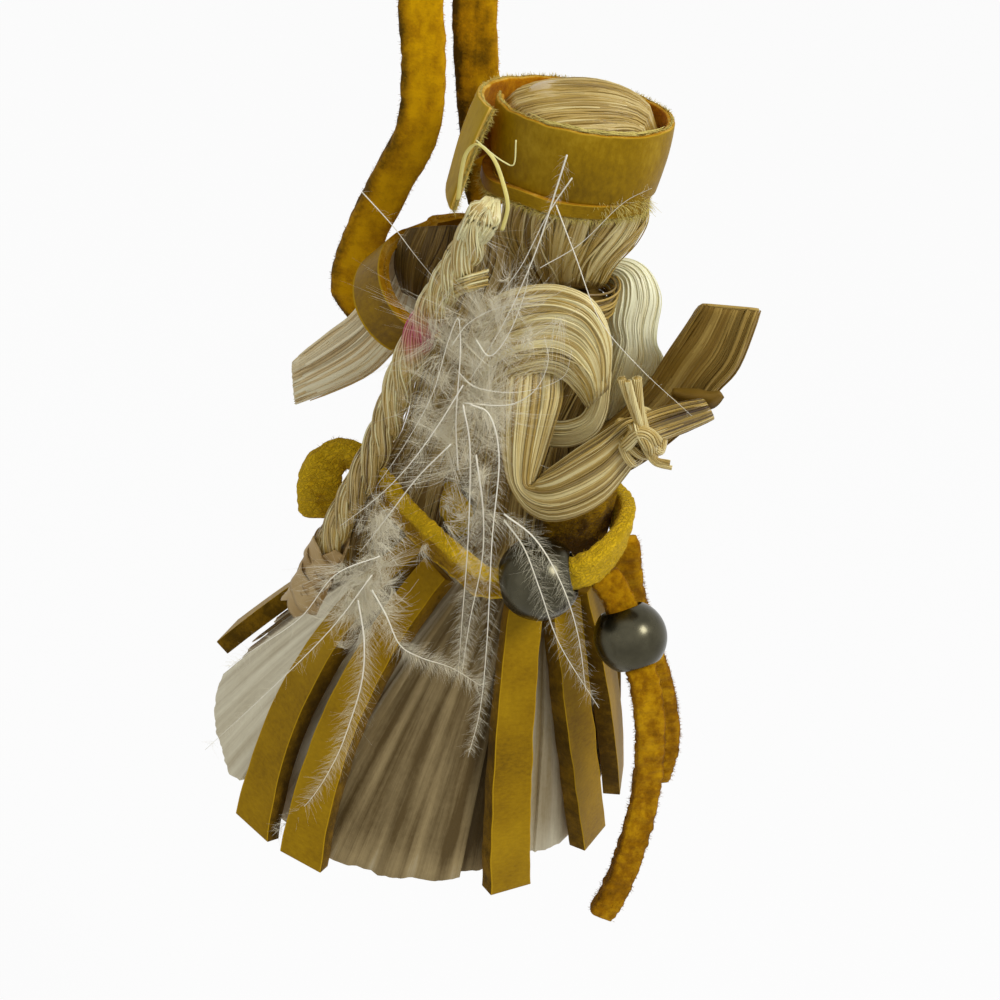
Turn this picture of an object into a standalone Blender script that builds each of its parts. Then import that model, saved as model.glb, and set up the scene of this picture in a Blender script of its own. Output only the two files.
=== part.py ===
"""Corn husk doll ornament, hanging from a suede lace loop.

Every length is in metres, +Z is up and the doll's front is the side towards -Y. The doll is
modelled with the middle of its hem at the origin of its own frame. An empty then moves it down,
so that the world's origin is the top of the lace loop that it hangs from.
"""

import math

import bpy
from mathutils import Matrix, Vector

# Clearance between pieces that touch
GAP = 0.0003

# Skirt: a leaning bell of husk leaves over a fibre core
SKIRT_HEIGHT = 0.0290
HEM_RADIUS = 0.0222
WAIST_RADIUS = 0.0072
WAIST_SHIFT_RIGHT = 0.0053
WAIST_SHIFT_FRONT = 0.0019
SKIRT_FLARE_SHARES = (1.0, 0.79, 0.56, 0.3, 0.0)
SKIRT_TWIST = math.radians(6.0)
LEAF_COUNT = 10
LEAF_SPAN = math.radians(47.0)
LEAF_THICKNESS = 0.0007
LEAF_COLUMNS = 9
FOLD_DEPTH = 0.0002
FOLD_COUNT = 30
CORE_SIDES = 36

# Leather strips over the skirt, as compass angles from the front, at the waist and at the hem
STRIP_WIDTH = 0.0048
STRIP_THICKNESS = 0.0019
STRIP_TOP_WIDTH_SHARE = 0.74
STRIP_ANGLES = (
    (24, 35), (52, 65), (80, 88), (108, 113), (136, 140), (164, 167),
    (192, 194), (220, 236), (248, 253), (292, 327), (320, 342),
)

# Torso: a bundle of fibres from the skirt's top to the neck
TORSO_HEIGHT = 0.0295
TORSO_RADIUS = 0.0038
TORSO_EXTRA_WIDTH = 0.0010
TORSO_ROUTE_SHARES = (
    (0.0, 0.0, 0.0), (0.0, 0.0, 0.15), (-0.045, 0.05, 0.5), (-0.01, 0.05, 0.85), (0.0, 0.05, 1.0),
)
TORSO_PROFILE_SHARES = (1.8, 1.4, 1.1, 0.98, 0.98, 0.9, 0.78)

# Head: a bent-over bundle, round where the headband sits
HEAD_RADIUS = 0.0062
HEAD_HEIGHT = 0.0192
HEAD_ROUTE_SHARES = (
    (0.0, 0.0, 0.0), (0.0, 0.0, 0.12), (-0.17, -0.06, 0.47), (-0.2, -0.01, 0.9), (-0.205, 0.0, 0.96),
)
HEAD_PROFILE_SHARES = (0.46, 0.5, 0.6, 0.74, 0.9, 1.0, 1.0, 1.0, 1.0, 1.0, 0.95, 0.8, 0.45)

# Headband: a leather strip wound round the head, its outer end flared
BAND_HEIGHT = 0.0062
BAND_THICKNESS = 0.0012
BAND_CLEARANCE = 0.0004
BAND_START_ANGLE = -88
BAND_END_ANGLE = 306
BAND_FLARE = 0.0024
BAND_FLARE_START_SHARE = 0.72
BAND_DROP = 0.0016
LOWER_TURN_HEIGHT = 0.0012
LOWER_TURN_CLEARANCE = 0.0005
LOWER_TURN_STEPS = 28

# Arms and shoulders: bundles whose routes are shares of one reach, from the waist's middle
REACH_SHARE = 1.017
REACH = TORSO_HEIGHT * REACH_SHARE
NEAR_SHOULDER_RADIUS = 0.0026
NEAR_SHOULDER_PLACE_SHARES = (-0.02, 0.922)
NEAR_SHOULDER_BEND_SHARE = 1.06
NEAR_SHOULDER_LEG_SHARES = (0.14, 0.17)
FAR_SHOULDER_RADIUS = 0.0018
FAR_SHOULDER_ROUTE_SHARES = (
    (0.168, 0.17, 0.995), (0.196, 0.117, 0.965), (0.203, 0.083, 0.89), (0.205, 0.057, 0.807),
    (0.213, 0.045, 0.74),
)
INNER_CURL_RADIUS = 0.0009
INNER_CURL_ROUTE_SHARES = (
    (0.197, 0.86), (0.192, 0.76), (0.165, 0.665), (0.11, 0.61), (0.03, 0.6),
)
NEAR_ARM_RADIUS = 0.0026
NEAR_ARM_ROUTE_SHARES = (
    (-0.095, -0.235, 0.75), (-0.09, -0.268, 0.615), (-0.04, -0.297, 0.51), (0.045, -0.313, 0.48),
    (0.135, -0.313, 0.54), (0.208, -0.297, 0.64), (0.27, -0.257, 0.733), (0.345, -0.233, 0.79),
    (0.445, -0.207, 0.84),
)
NEAR_ARM_PROFILE_SHARES = (0.7, 0.78, 0.8, 0.82, 0.95, 1.05, 1.0, 0.78, 0.52, 0.5, 0.5, 0.6, 0.7)
FAR_ARM_WIDTH = 0.0054
FAR_ARM_THICKNESS = 0.0030
FAR_ARM_ROUTE_SHARES = (
    (0.2, -0.055, 0.45), (0.24, -0.055, 0.555), (0.29, -0.055, 0.695), (0.36, -0.055, 0.85),
    (0.475, -0.05, 1.04),
)
FAR_ARM_PROFILE_SHARES = (0.8, 0.9, 0.95, 1.0, 1.05, 1.1)
TIE_RADIUS = 0.00045
TIE_TURNS = 2.0
TIE_END_LENGTH = 0.0034

# Back bundle: husk that lies in a rolled leather sleeve behind the left shoulder
BACK_BUNDLE_WIDTH = 0.0046
BACK_BUNDLE_THICKNESS = 0.0034
BACK_BUNDLE_ROUTE_SHARES = (
    (-0.517, 0.186, 0.83), (-0.557, 0.226, 0.705), (-0.59, 0.245, 0.585), (-0.65, 0.27, 0.475),
    (-0.75, 0.29, 0.34), (-0.85, 0.305, 0.22),
)
BACK_BUNDLE_PROFILE_SHARES = (1.1, 1.1, 1.05, 1.0, 1.0, 1.0, 1.05)
SLEEVE_RADIUS = 0.0046
SLEEVE_WIDTH = 0.0052
SLEEVE_THICKNESS = 0.0011
SLEEVE_PLACE_SHARES = (-0.45, 0.13, 0.862)
SLEEVE_AXIS_SHARES = (-0.44, 0.4, -0.8)
SLEEVE_START_ANGLE = 88
SLEEVE_END_ANGLE = 318
STRAP_ROUTE_SHARES = (
    (0.01, 0.228, 0.92), (-0.12, 0.262, 0.93), (-0.21, 0.3, 0.93), (-0.304, 0.337, 0.925),
    (-0.414, 0.35, 0.915), (-0.515, 0.325, 0.9),
)
STRAP_DOWN_SHARES = (0.15, -0.35, -0.92)

# Suede laces
LACE_WIDTH = 0.0035
LACE_THICKNESS = 0.0018
LOOP_LACE_WIDTH = 0.0044
LOOP_LACE_THICKNESS = 0.0020
KNOT_WIDTH = 2 * LACE_WIDTH

# Beads: round metal, with a bore that clears the lace
BELT_BEAD_DIAMETER = 0.0080
TAIL_BEAD_DIAMETER = 0.0071
BEAD_BORE_CLEARANCE = 0.0005
BEAD_SEGMENTS = 20

# Braid: a twisted cord of husk, with a husk wrapping at its lower end
BRAID_DIAMETER = 0.0034
BINDING_LENGTH = 0.0105
BINDING_THICKNESS = 0.0005
THREAD_DIAMETER = 0.0005
CORD_SIDES_RESOLUTION = 2

# Feathers: flat plumes, their routes as shares of one reach from the waist's middle
FEATHER_THICKNESS = 0.0005
FEATHER_WIDTHS = (0.0060, 0.0040, 0.0022)
FEATHER_END_WIDTH_SHARE = 0.2
FEATHER_REACH = 0.0600
FEATHER_ROUTE_SHARES = (
    (
        (-0.148, -0.108, 0.47), (-0.158, -0.135, 0.43), (-0.168, -0.171, 0.367), (-0.18, -0.191, 0.247),
        (-0.196, -0.21, 0.122), (-0.235, -0.215, -0.016), (-0.283, -0.228, -0.13),
        (-0.341, -0.245, -0.25), (-0.395, -0.251, -0.373),
    ),
    (
        (-0.156, -0.131, 0.51), (-0.133, -0.165, 0.454), (-0.105, -0.198, 0.372),
        (-0.073, -0.221, 0.244), (-0.043, -0.248, 0.157), (-0.015, -0.261, 0.037),
        (0.004, -0.278, -0.058), (0.019, -0.308, -0.166),
    ),
    (
        (-0.138, -0.14, 0.522), (-0.098, -0.18, 0.46), (-0.061, -0.216, 0.375), (0.009, -0.275, 0.237),
        (0.065, -0.291, 0.164), (0.129, -0.293, 0.084), (0.189, -0.268, -0.075),
    ),
)

# Routes of the laces and cords, chosen by hand and counted from the waist's middle
LOOP_ROUTE = (
    (-0.0181, 0.0127, 0.0148), (-0.0204, 0.0125, 0.0164), (-0.0219, 0.0117, 0.0190),
    (-0.0215, 0.0107, 0.0242), (-0.0195, 0.0093, 0.0326), (-0.0179, 0.0081, 0.0390),
    (-0.0186, 0.0081, 0.0455), (-0.0200, 0.0087, 0.0510), (-0.0206, 0.0085, 0.0570),
    (-0.0205, 0.0075, 0.0670), (-0.0199, 0.0079, 0.0762), (-0.0194, 0.0091, 0.0800),
    (-0.0182, 0.0111, 0.0818), (-0.0170, 0.0132, 0.0800), (-0.0164, 0.0143, 0.0762),
    (-0.0158, 0.0141, 0.0670), (-0.0156, 0.0123, 0.0580), (-0.0153, 0.0111, 0.0510),
    (-0.0141, 0.0109, 0.0456), (-0.0130, 0.0114, 0.0410), (-0.0117, 0.0123, 0.0360),
    (-0.0105, 0.0129, 0.0310),
)
LOOP_TOP_SHARE = 0.57
LOOP_FACE = (1, 0.1, 0.05)
BRAID_ROUTE = (
    (-0.0093, -0.0087, 0.0413), (-0.0099, -0.0086, 0.0391), (-0.0104, -0.0081, 0.0365),
    (-0.0112, -0.0074, 0.0334), (-0.0122, -0.0067, 0.0297), (-0.0130, -0.0060, 0.0257),
    (-0.0137, -0.0053, 0.0213), (-0.0142, -0.0052, 0.0163), (-0.0149, -0.0052, 0.0114),
    (-0.0160, -0.0053, 0.0064), (-0.0172, -0.0054, 0.0010), (-0.0182, -0.0053, -0.0045),
    (-0.0192, -0.0049, -0.0092),
)
BELT_ROUTE = (
    (-0.0193, -0.0015, -0.0002), (-0.0201, -0.0019, 0.0035), (-0.0202, -0.0017, 0.0068),
    (-0.0186, -0.0007, 0.0085), (-0.0162, -0.0009, 0.0078), (-0.0135, -0.0031, 0.0064),
    (-0.0109, -0.0054, 0.0055), (-0.0080, -0.0073, 0.0048), (-0.0043, -0.0092, 0.0039),
    (-0.0015, -0.0107, 0.0038), (0.0031, -0.0109, 0.0059), (0.0071, -0.0104, 0.0079),
    (0.0091, -0.0079, 0.0090), (0.0099, -0.0041, 0.0096), (0.0089, 0.0001, 0.0086),
    (0.0062, 0.0045, 0.0066), (0.0023, 0.0069, 0.0053), (-0.0023, 0.0067, 0.0047),
    (-0.0059, 0.0037, 0.0047), (-0.0069, -0.0005, 0.0047), (-0.0049, -0.0041, 0.0050),
)
BELT_BEAD_PLACE_SHARE = 0.5
BELT_END_DIRECTIONS = ((1, 0.1, 0.1), (1, 0.1, 0.1), (1, 0.3, 0.5), (0.5, 0.3, 1.0), (0, 0, 1), (0, 0, 1))
BELT_TWISTED_STEPS = 10
KNOT_ROUTE = (
    (0.0025, -0.0046, 0.0096), (0.0041, -0.0050, 0.0098), (0.0056, -0.0048, 0.0102),
    (0.0069, -0.0041, 0.0108),
)
FRONT_TAIL_ROUTE = (
    (0.0092, -0.0075, 0.0055), (0.0111, -0.0082, 0.0038), (0.0132, -0.0101, 0.0010),
    (0.0153, -0.0121, -0.0018), (0.0170, -0.0132, -0.0056), (0.0182, -0.0138, -0.0100),
    (0.0190, -0.0147, -0.0148), (0.0192, -0.0162, -0.0196), (0.0189, -0.0177, -0.0245),
    (0.0181, -0.0191, -0.0280),
)
TAIL_BEAD_PLACE_SHARE = 0.22
TAIL_FACE = (1, 0.2, 0.1)
BACK_TAIL_ROUTE = (
    (0.0105, -0.0035, 0.0071), (0.0128, -0.0031, 0.0007), (0.0155, -0.0027, -0.0047),
    (0.0177, -0.0023, -0.0092), (0.0195, -0.0021, -0.0137), (0.0209, -0.0023, -0.0182),
    (0.0215, -0.0027, -0.0235),
)
THREAD_ROUTE = (
    (-0.0120, -0.0083, 0.0410), (-0.0122, -0.0087, 0.0436), (-0.0121, -0.0091, 0.0457),
    (-0.0113, -0.0094, 0.0468), (-0.0098, -0.0097, 0.0460), (-0.0086, -0.0101, 0.0443),
    (-0.0078, -0.0104, 0.0425), (-0.0078, -0.0102, 0.0402),
)
SMOOTH_EDGE_ANGLE = math.radians(40.0)


def clear_scene():
    """Remove every object that the file holds."""
    for old in list(bpy.data.objects):
        bpy.data.objects.remove(old, do_unlink=True)


def make_material(name, colour, roughness, metallic=0.0):
    """A Principled material of one colour."""
    material = bpy.data.materials.new(name)
    material.use_nodes = True
    shader = material.node_tree.nodes["Principled BSDF"]
    shader.inputs["Base Color"].default_value = (*colour, 1.0)
    shader.inputs["Roughness"].default_value = roughness
    shader.inputs["Metallic"].default_value = metallic
    material.diffuse_color = (*colour, 1.0)
    return material


def add_object(name, points, faces, material, parent):
    """One closed mesh object in the doll's frame."""
    mesh = bpy.data.meshes.new(name)
    mesh.from_pydata([tuple(p) for p in points], [], faces)
    mesh.validate()
    mesh.shade_smooth()
    mesh.set_sharp_from_angle(angle=SMOOTH_EDGE_ANGLE)
    mesh.materials.append(material)
    made = bpy.data.objects.new(name, mesh)
    bpy.context.scene.collection.objects.link(made)
    made.parent = parent
    return made


def curve_point(route, where):
    """Catmull-Rom point of a route, where 0 is its start and 1 its end."""
    last = len(route) - 1
    span = min(int(where * last), last - 1)
    t = where * last - span
    p1 = Vector(route[span])
    p2 = Vector(route[span + 1])
    p0 = Vector(route[span - 1]) if span > 0 else 2 * p1 - p2
    p3 = Vector(route[span + 2]) if span + 2 <= last else 2 * p2 - p1
    return 0.5 * (
        2 * p1 + (p2 - p0) * t + (2 * p0 - 5 * p1 + 4 * p2 - p3) * t * t + (3 * p1 - p0 - 3 * p2 + p3) * t**3
    )


def smooth_route(route, steps_per_span):
    """Points along the smooth curve through a route."""
    count = (len(route) - 1) * steps_per_span
    return [curve_point(route, i / count) for i in range(count + 1)]


def tangents(points):
    """Unit direction of travel at each point."""
    found = []
    for i in range(len(points)):
        ahead = points[min(i + 1, len(points) - 1)]
        behind = points[max(i - 1, 0)]
        found.append((ahead - behind).normalized())
    return found


def share_at(shares, where):
    """Value of an evenly spaced list of shares, where 0 is its start and 1 its end."""
    place = where * (len(shares) - 1)
    first = min(int(place), len(shares) - 2)
    return shares[first] + (shares[first + 1] - shares[first]) * (place - first)


def tube_faces(rings, sides, closed=False):
    """Quads between rings of points, with flat end caps on an open tube."""
    faces = []
    for i in range(rings if closed else rings - 1):
        here = i * sides
        there = (i + 1) % rings * sides
        for k in range(sides):
            j = (k + 1) % sides
            faces.append((here + k, here + j, there + j, there + k))
    if not closed:
        faces.append(tuple(range(sides - 1, -1, -1)))
        faces.append(tuple(range((rings - 1) * sides, rings * sides)))
    return faces


def bundle(name, centres, widths, thicknesses, across, material, parent, sides=12, power=2.0, level_rings=()):
    """A fibre bundle: oval rings along a line, each as wide as it says along 'across'.

    The rings that level_rings names lie level, whatever the line's direction.
    """
    points = []
    directions = tangents(centres)
    for ring in level_rings:
        directions[ring] = Vector((0, 0, 1))
    for centre, ahead, wide, thick in zip(centres, directions, widths, thicknesses):
        u = (across - across.dot(ahead) * ahead).normalized()
        v = ahead.cross(u)
        for k in range(sides):
            turn = math.tau * k / sides
            c = math.cos(turn)
            s = math.sin(turn)
            squareness = (abs(c) ** power + abs(s) ** power) ** (-1 / power)
            points.append(centre + u * wide / 2 * c * squareness + v * thick / 2 * s * squareness)
    return add_object(name, points, tube_faces(len(centres), sides), material, parent)


def strip(name, centres, width_directions, width, thickness, material, parent, closed=False):
    """A leather strip or a lace: a rectangular section carried along a line.

    width may be one value or one for each centre. The width directions are made square to the line.
    """
    widths = [width] * len(centres) if isinstance(width, float) else width
    points = []
    count = len(centres)
    for i in range(count):
        if closed:
            ahead = (centres[(i + 1) % count] - centres[i - 1]).normalized()
        else:
            ahead = (centres[min(i + 1, count - 1)] - centres[max(i - 1, 0)]).normalized()
        wish = width_directions[i]
        u = (wish - wish.dot(ahead) * ahead).normalized()
        v = ahead.cross(u)
        for across, deep in ((-1, -1), (1, -1), (1, 1), (-1, 1)):
            points.append(centres[i] + u * widths[i] / 2 * across + v * thickness / 2 * deep)
    return add_object(name, points, tube_faces(count, 4, closed), material, parent)


def cord(name, route, diameter, steps_per_span, material, parent):
    """A round cord: a curve with a bevel and filled ends."""
    data = bpy.data.curves.new(name, "CURVE")
    data.dimensions = "3D"
    data.bevel_depth = diameter / 2
    data.bevel_resolution = CORD_SIDES_RESOLUTION
    data.use_fill_caps = True
    data.render_resolution_u = 0
    spline = data.splines.new("POLY")
    line = smooth_route(route, steps_per_span)
    spline.points.add(len(line) - 1)
    for point, place in zip(spline.points, line):
        point.co = (*place, 1.0)
    data.materials.append(material)
    made = bpy.data.objects.new(name, data)
    bpy.context.scene.collection.objects.link(made)
    made.parent = parent
    return made


def skirt_point(angle, height_share, radius_offset, folded=True):
    """A point of the skirt's outer bell, moved outwards by an offset."""
    flare = share_at(SKIRT_FLARE_SHARES, height_share)
    radius = WAIST_RADIUS + (HEM_RADIUS - WAIST_RADIUS) * flare + radius_offset
    if folded:
        radius += FOLD_DEPTH * math.cos(FOLD_COUNT * angle) * flare
    turned = angle - SKIRT_TWIST * height_share
    return Vector((
        WAIST_SHIFT_RIGHT * height_share + radius * math.sin(turned),
        -WAIST_SHIFT_FRONT * height_share - radius * math.cos(turned),
        SKIRT_HEIGHT * height_share,
    ))


def skirt_levels():
    """Height shares at which the skirt has a row of points."""
    rows = 2 * (len(SKIRT_FLARE_SHARES) - 1)
    return [i / rows for i in range(rows + 1)]


def layer_offset(layer):
    """Outer face of a layer of the skirt, where 0 is the outer leaves and 1 the inner ones."""
    return -layer * (LEAF_THICKNESS + GAP)


def build_skirt_core(material, parent):
    """The fibre core, flat underneath and on top."""
    levels = skirt_levels()
    offset = layer_offset(2) - FOLD_DEPTH
    points = []
    for level in levels:
        for k in range(CORE_SIDES):
            points.append(skirt_point(math.tau * k / CORE_SIDES, level, offset, folded=False))
    add_object("skirt_core", points, tube_faces(len(levels), CORE_SIDES), material, parent)


def build_leaf(number, material, parent):
    """One husk leaf, a curved panel with soft folds along it."""
    middle = math.tau * number / LEAF_COUNT
    layer = number % 2
    levels = skirt_levels()
    outer = layer_offset(layer)
    points = []
    for offset in (outer, outer - LEAF_THICKNESS):
        for level in levels:
            for k in range(LEAF_COLUMNS):
                angle = middle + LEAF_SPAN * (k / (LEAF_COLUMNS - 1) - 0.5)
                points.append(skirt_point(angle, level, offset))
    rows = len(levels)
    sheet = rows * LEAF_COLUMNS
    faces = []
    for i in range(rows - 1):
        for k in range(LEAF_COLUMNS - 1):
            a = i * LEAF_COLUMNS + k
            b = a + LEAF_COLUMNS
            faces.append((a, a + 1, b + 1, b))
            faces.append((sheet + a, sheet + b, sheet + b + 1, sheet + a + 1))
    edge = [k for k in range(LEAF_COLUMNS)]
    edge += [(i + 1) * LEAF_COLUMNS - 1 for i in range(1, rows)]
    edge += [(rows - 1) * LEAF_COLUMNS + k for k in range(LEAF_COLUMNS - 2, -1, -1)]
    edge += [i * LEAF_COLUMNS for i in range(rows - 2, 0, -1)]
    for here, there in zip(edge, edge[1:] + edge[:1]):
        faces.append((there, here, sheet + here, sheet + there))
    add_object(f"husk_leaf_{number + 1:02d}", points, faces, material, parent)


def build_strips(material, parent):
    """Leather strips that hang over the skirt from the waist to the hem."""
    levels = skirt_levels()
    offset = GAP + FOLD_DEPTH + STRIP_THICKNESS / 2
    for number, (top, hem) in enumerate(STRIP_ANGLES):
        centres = []
        across = []
        widths = []
        for level in levels:
            angle = math.radians(hem + (top - hem) * level)
            centre = skirt_point(angle, level, offset, folded=False)
            beside = skirt_point(angle + math.radians(1), level, offset, folded=False)
            centres.append(centre)
            across.append(centre - beside)
            widths.append(STRIP_WIDTH * (1 + (STRIP_TOP_WIDTH_SHARE - 1) * level))
        strip(f"skirt_strip_{number + 1:02d}", centres, across, widths, STRIP_THICKNESS, material, parent)


def waist_middle():
    """Middle of the skirt's flat top."""
    return Vector((WAIST_SHIFT_RIGHT, -WAIST_SHIFT_FRONT, SKIRT_HEIGHT))


def body_route(shares, reach):
    """Places in the doll's frame from shares of a reach, counted from the waist's middle."""
    return [waist_middle() + reach * Vector(share) for share in shares]


def front_route(shares, depth):
    """A route in an upright plane in front of the torso, from shares of the reach."""
    middle = waist_middle() + TORSO_HEIGHT * Vector(TORSO_ROUTE_SHARES[2])
    return [
        Vector((WAIST_SHIFT_RIGHT + REACH * across, middle.y - depth, SKIRT_HEIGHT + REACH * up))
        for across, up in shares
    ]


def neck_place():
    """Top of the torso, where the head starts."""
    return waist_middle() + TORSO_HEIGHT * Vector(TORSO_ROUTE_SHARES[-1]) + Vector((0, 0, 3 * GAP))


def build_torso(material, parent):
    """The upright bundle between the skirt and the head."""
    lifted = Vector((0, 0, GAP))
    line = [p + lifted for p in smooth_route(body_route(TORSO_ROUTE_SHARES, TORSO_HEIGHT), 3)]
    last = len(line) - 1
    depths = [2 * TORSO_RADIUS * share_at(TORSO_PROFILE_SHARES, i / last) for i in range(last + 1)]
    widths = [depth + TORSO_EXTRA_WIDTH * math.sin(math.pi * i / last) for i, depth in enumerate(depths)]
    bundle("torso_bundle", line, widths, depths, Vector((1, 0, 0)), material, parent, sides=16, level_rings=(0, -1))


def head_line():
    """Points along the head's bent axis."""
    neck = neck_place()
    route = [neck + HEAD_HEIGHT * Vector(share) for share in HEAD_ROUTE_SHARES]
    return smooth_route(route, 4)


def build_head(material, parent):
    """The fibre head, with a low dome on top."""
    line = head_line()
    last = len(line) - 1
    sizes = [2 * HEAD_RADIUS * share_at(HEAD_PROFILE_SHARES, i / last) for i in range(last + 1)]
    bundle("head_bundle", line, sizes, sizes, Vector((1, 0, 0)), material, parent, sides=20, level_rings=(0,))


def band_frame():
    """Middle of the band's top edge, and the head's axis there."""
    neck = neck_place()
    low = neck + HEAD_HEIGHT * Vector(HEAD_ROUTE_SHARES[2])
    top = neck + HEAD_HEIGHT * Vector(HEAD_ROUTE_SHARES[3])
    return top, (top - low).normalized()


def build_headband(material, parent):
    """One turn and a lap of leather strip, flared at its outer end, over a narrower turn."""
    top, up = band_frame()
    right = (Vector((1, 0, 0)) - up.x * up).normalized()
    back = up.cross(right)
    inner = HEAD_RADIUS + BAND_CLEARANCE
    start = math.radians(BAND_START_ANGLE)
    end = math.radians(BAND_END_ANGLE)
    steps = 40
    centres = []
    across = []
    for i in range(steps + 1):
        turn = start + (end - start) * i / steps
        laps = (end - start) / math.tau
        spread = i / steps * laps * (BAND_THICKNESS + 1.6 * GAP)
        flare = max(0.0, (i / steps - BAND_FLARE_START_SHARE) / (1 - BAND_FLARE_START_SHARE)) ** 1.5
        lean = BAND_FLARE * flare
        outward = right * math.sin(turn) - back * math.cos(turn)
        radius = inner + BAND_THICKNESS / 2 + spread
        rim = top + outward * radius
        foot = rim - up * (BAND_HEIGHT + BAND_DROP * flare) + outward * lean
        centres.append((rim + foot) / 2)
        across.append(foot - rim)
    widths = [a.length for a in across]
    strip("headband", centres, across, widths, BAND_THICKNESS, material, parent)
    drop = BAND_HEIGHT + 2 * GAP + LOWER_TURN_HEIGHT / 2
    middle = min(head_line(), key=lambda p: abs((top - p).dot(up) - drop))
    middle += up * ((top - middle).dot(up) - drop)
    low_centres = []
    low_across = []
    for i in range(LOWER_TURN_STEPS):
        turn = math.tau * i / LOWER_TURN_STEPS
        outward = right * math.sin(turn) - back * math.cos(turn)
        low_centres.append(middle + outward * (HEAD_RADIUS + LOWER_TURN_CLEARANCE + BAND_THICKNESS / 2))
        low_across.append(-up)
    strip("headband_lower_turn", low_centres, low_across, LOWER_TURN_HEIGHT, BAND_THICKNESS, material, parent, True)


def build_near_shoulder(material, parent):
    """The big curl of fibre over the near shoulder."""
    depth = TORSO_RADIUS + 2 * GAP + NEAR_SHOULDER_RADIUS
    across, up = NEAR_SHOULDER_PLACE_SHARES
    bend = NEAR_SHOULDER_RADIUS * NEAR_SHOULDER_BEND_SHARE / REACH
    left_leg, right_leg = NEAR_SHOULDER_LEG_SHARES
    steps = 12
    shares = [(across - bend, up - left_leg), (across - bend, up - left_leg / 2)]
    for i in range(steps + 1):
        turn = math.pi * (1 - i / steps)
        shares.append((across + bend * math.cos(turn), up + bend * math.sin(turn)))
    shares += [(across + bend, up - right_leg / 2), (across + bend, up - right_leg)]
    line = front_route(shares, depth)
    sizes = [2 * NEAR_SHOULDER_RADIUS] * len(line)
    bundle("near_shoulder_curl", line, sizes, sizes, Vector((0, 1, 0)), material, parent)


def build_far_shoulder(material, parent):
    """The curl over the far shoulder, which runs on down the chest."""
    line = smooth_route(body_route(FAR_SHOULDER_ROUTE_SHARES, REACH), 3)
    sizes = [2 * FAR_SHOULDER_RADIUS] * len(line)
    bundle("far_shoulder_curl", line, sizes, sizes, Vector((0, 1, 0)), material, parent)


def build_inner_curl(material, parent):
    """The thin bundle that bends under the near shoulder's curl."""
    depth = TORSO_RADIUS + 2 * GAP + INNER_CURL_RADIUS
    line = smooth_route(front_route(INNER_CURL_ROUTE_SHARES, depth), 3)
    sizes = [2 * INNER_CURL_RADIUS] * len(line)
    bundle("inner_curl", line, sizes, sizes, Vector((0, 1, 0)), material, parent, sides=8)


def build_near_arm(material, parent):
    """The near arm, bent at the elbow and drawn in at the wrist."""
    line = smooth_route(body_route(NEAR_ARM_ROUTE_SHARES, REACH), 3)
    last = len(line) - 1
    sizes = [2 * NEAR_ARM_RADIUS * share_at(NEAR_ARM_PROFILE_SHARES, i / last) for i in range(last + 1)]
    bundle("near_arm", line, sizes, sizes, Vector((0, 1, 0)), material, parent)
    return line, sizes


def build_far_arm(material, parent):
    """The far arm: a flat bundle with a square cut end."""
    line = smooth_route(body_route(FAR_ARM_ROUTE_SHARES, REACH), 2)
    last = len(line) - 1
    shares = [share_at(FAR_ARM_PROFILE_SHARES, i / last) for i in range(last + 1)]
    widths = [FAR_ARM_WIDTH * share for share in shares]
    thicknesses = [FAR_ARM_THICKNESS * share for share in shares]
    bundle("far_arm", line, widths, thicknesses, Vector((1, 0, -0.5)), material, parent, power=5.0)


def build_wrist_tie(arm_line, arm_sizes, material, parent):
    """A husk strand wound round the near arm's wrist, its two ends sticking up."""
    last = len(arm_line) - 1
    station = min(range(last // 2, last), key=lambda i: arm_sizes[i])
    centre = arm_line[station]
    axis = (arm_line[station + 1] - arm_line[station - 1]).normalized()
    side = (Vector((0, 1, 0)) - axis.y * axis).normalized()
    other = axis.cross(side)
    reach = 3 * TIE_RADIUS * TIE_TURNS / 2 + TIE_RADIUS
    thickest = max(size for place, size in zip(arm_line, arm_sizes) if (place - centre).length < reach)
    steps = 28
    radius = (thickest / 2 + TIE_RADIUS + GAP) / math.cos(math.pi * TIE_TURNS / steps)
    line = []
    line.append(centre + side * -radius + other * TIE_END_LENGTH - axis * (TIE_TURNS / 2 * 3 * TIE_RADIUS))
    for i in range(steps + 1):
        share = i / steps
        turn = math.pi + math.tau * TIE_TURNS * share
        along = axis * (3 * TIE_RADIUS * TIE_TURNS * (share - 0.5))
        line.append(centre + side * radius * math.cos(turn) + other * radius * math.sin(turn) + along)
    line.append(centre + side * -radius - other * TIE_END_LENGTH + axis * (TIE_TURNS / 2 * 3 * TIE_RADIUS))
    sizes = [2 * TIE_RADIUS] * len(line)
    points = []
    for place, ahead in zip(line, tangents(line)):
        u = (axis - axis.dot(ahead) * ahead).normalized()
        v = ahead.cross(u)
        for k in range(6):
            turn = math.tau * k / 6
            points.append(place + u * TIE_RADIUS * math.cos(turn) + v * TIE_RADIUS * math.sin(turn))
    add_object("wrist_tie", points, tube_faces(len(sizes), 6), material, parent)


def build_back_bundle(material, parent):
    """The husk bundle that lies in the sleeve."""
    line = smooth_route(body_route(BACK_BUNDLE_ROUTE_SHARES, REACH), 2)
    last = len(line) - 1
    shares = [share_at(BACK_BUNDLE_PROFILE_SHARES, i / last) for i in range(last + 1)]
    widths = [BACK_BUNDLE_WIDTH * share for share in shares]
    thicknesses = [BACK_BUNDLE_THICKNESS * share for share in shares]
    bundle("back_bundle", line, widths, thicknesses, Vector((0.6, 0, -0.7)), material, parent, power=2.6)


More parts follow.
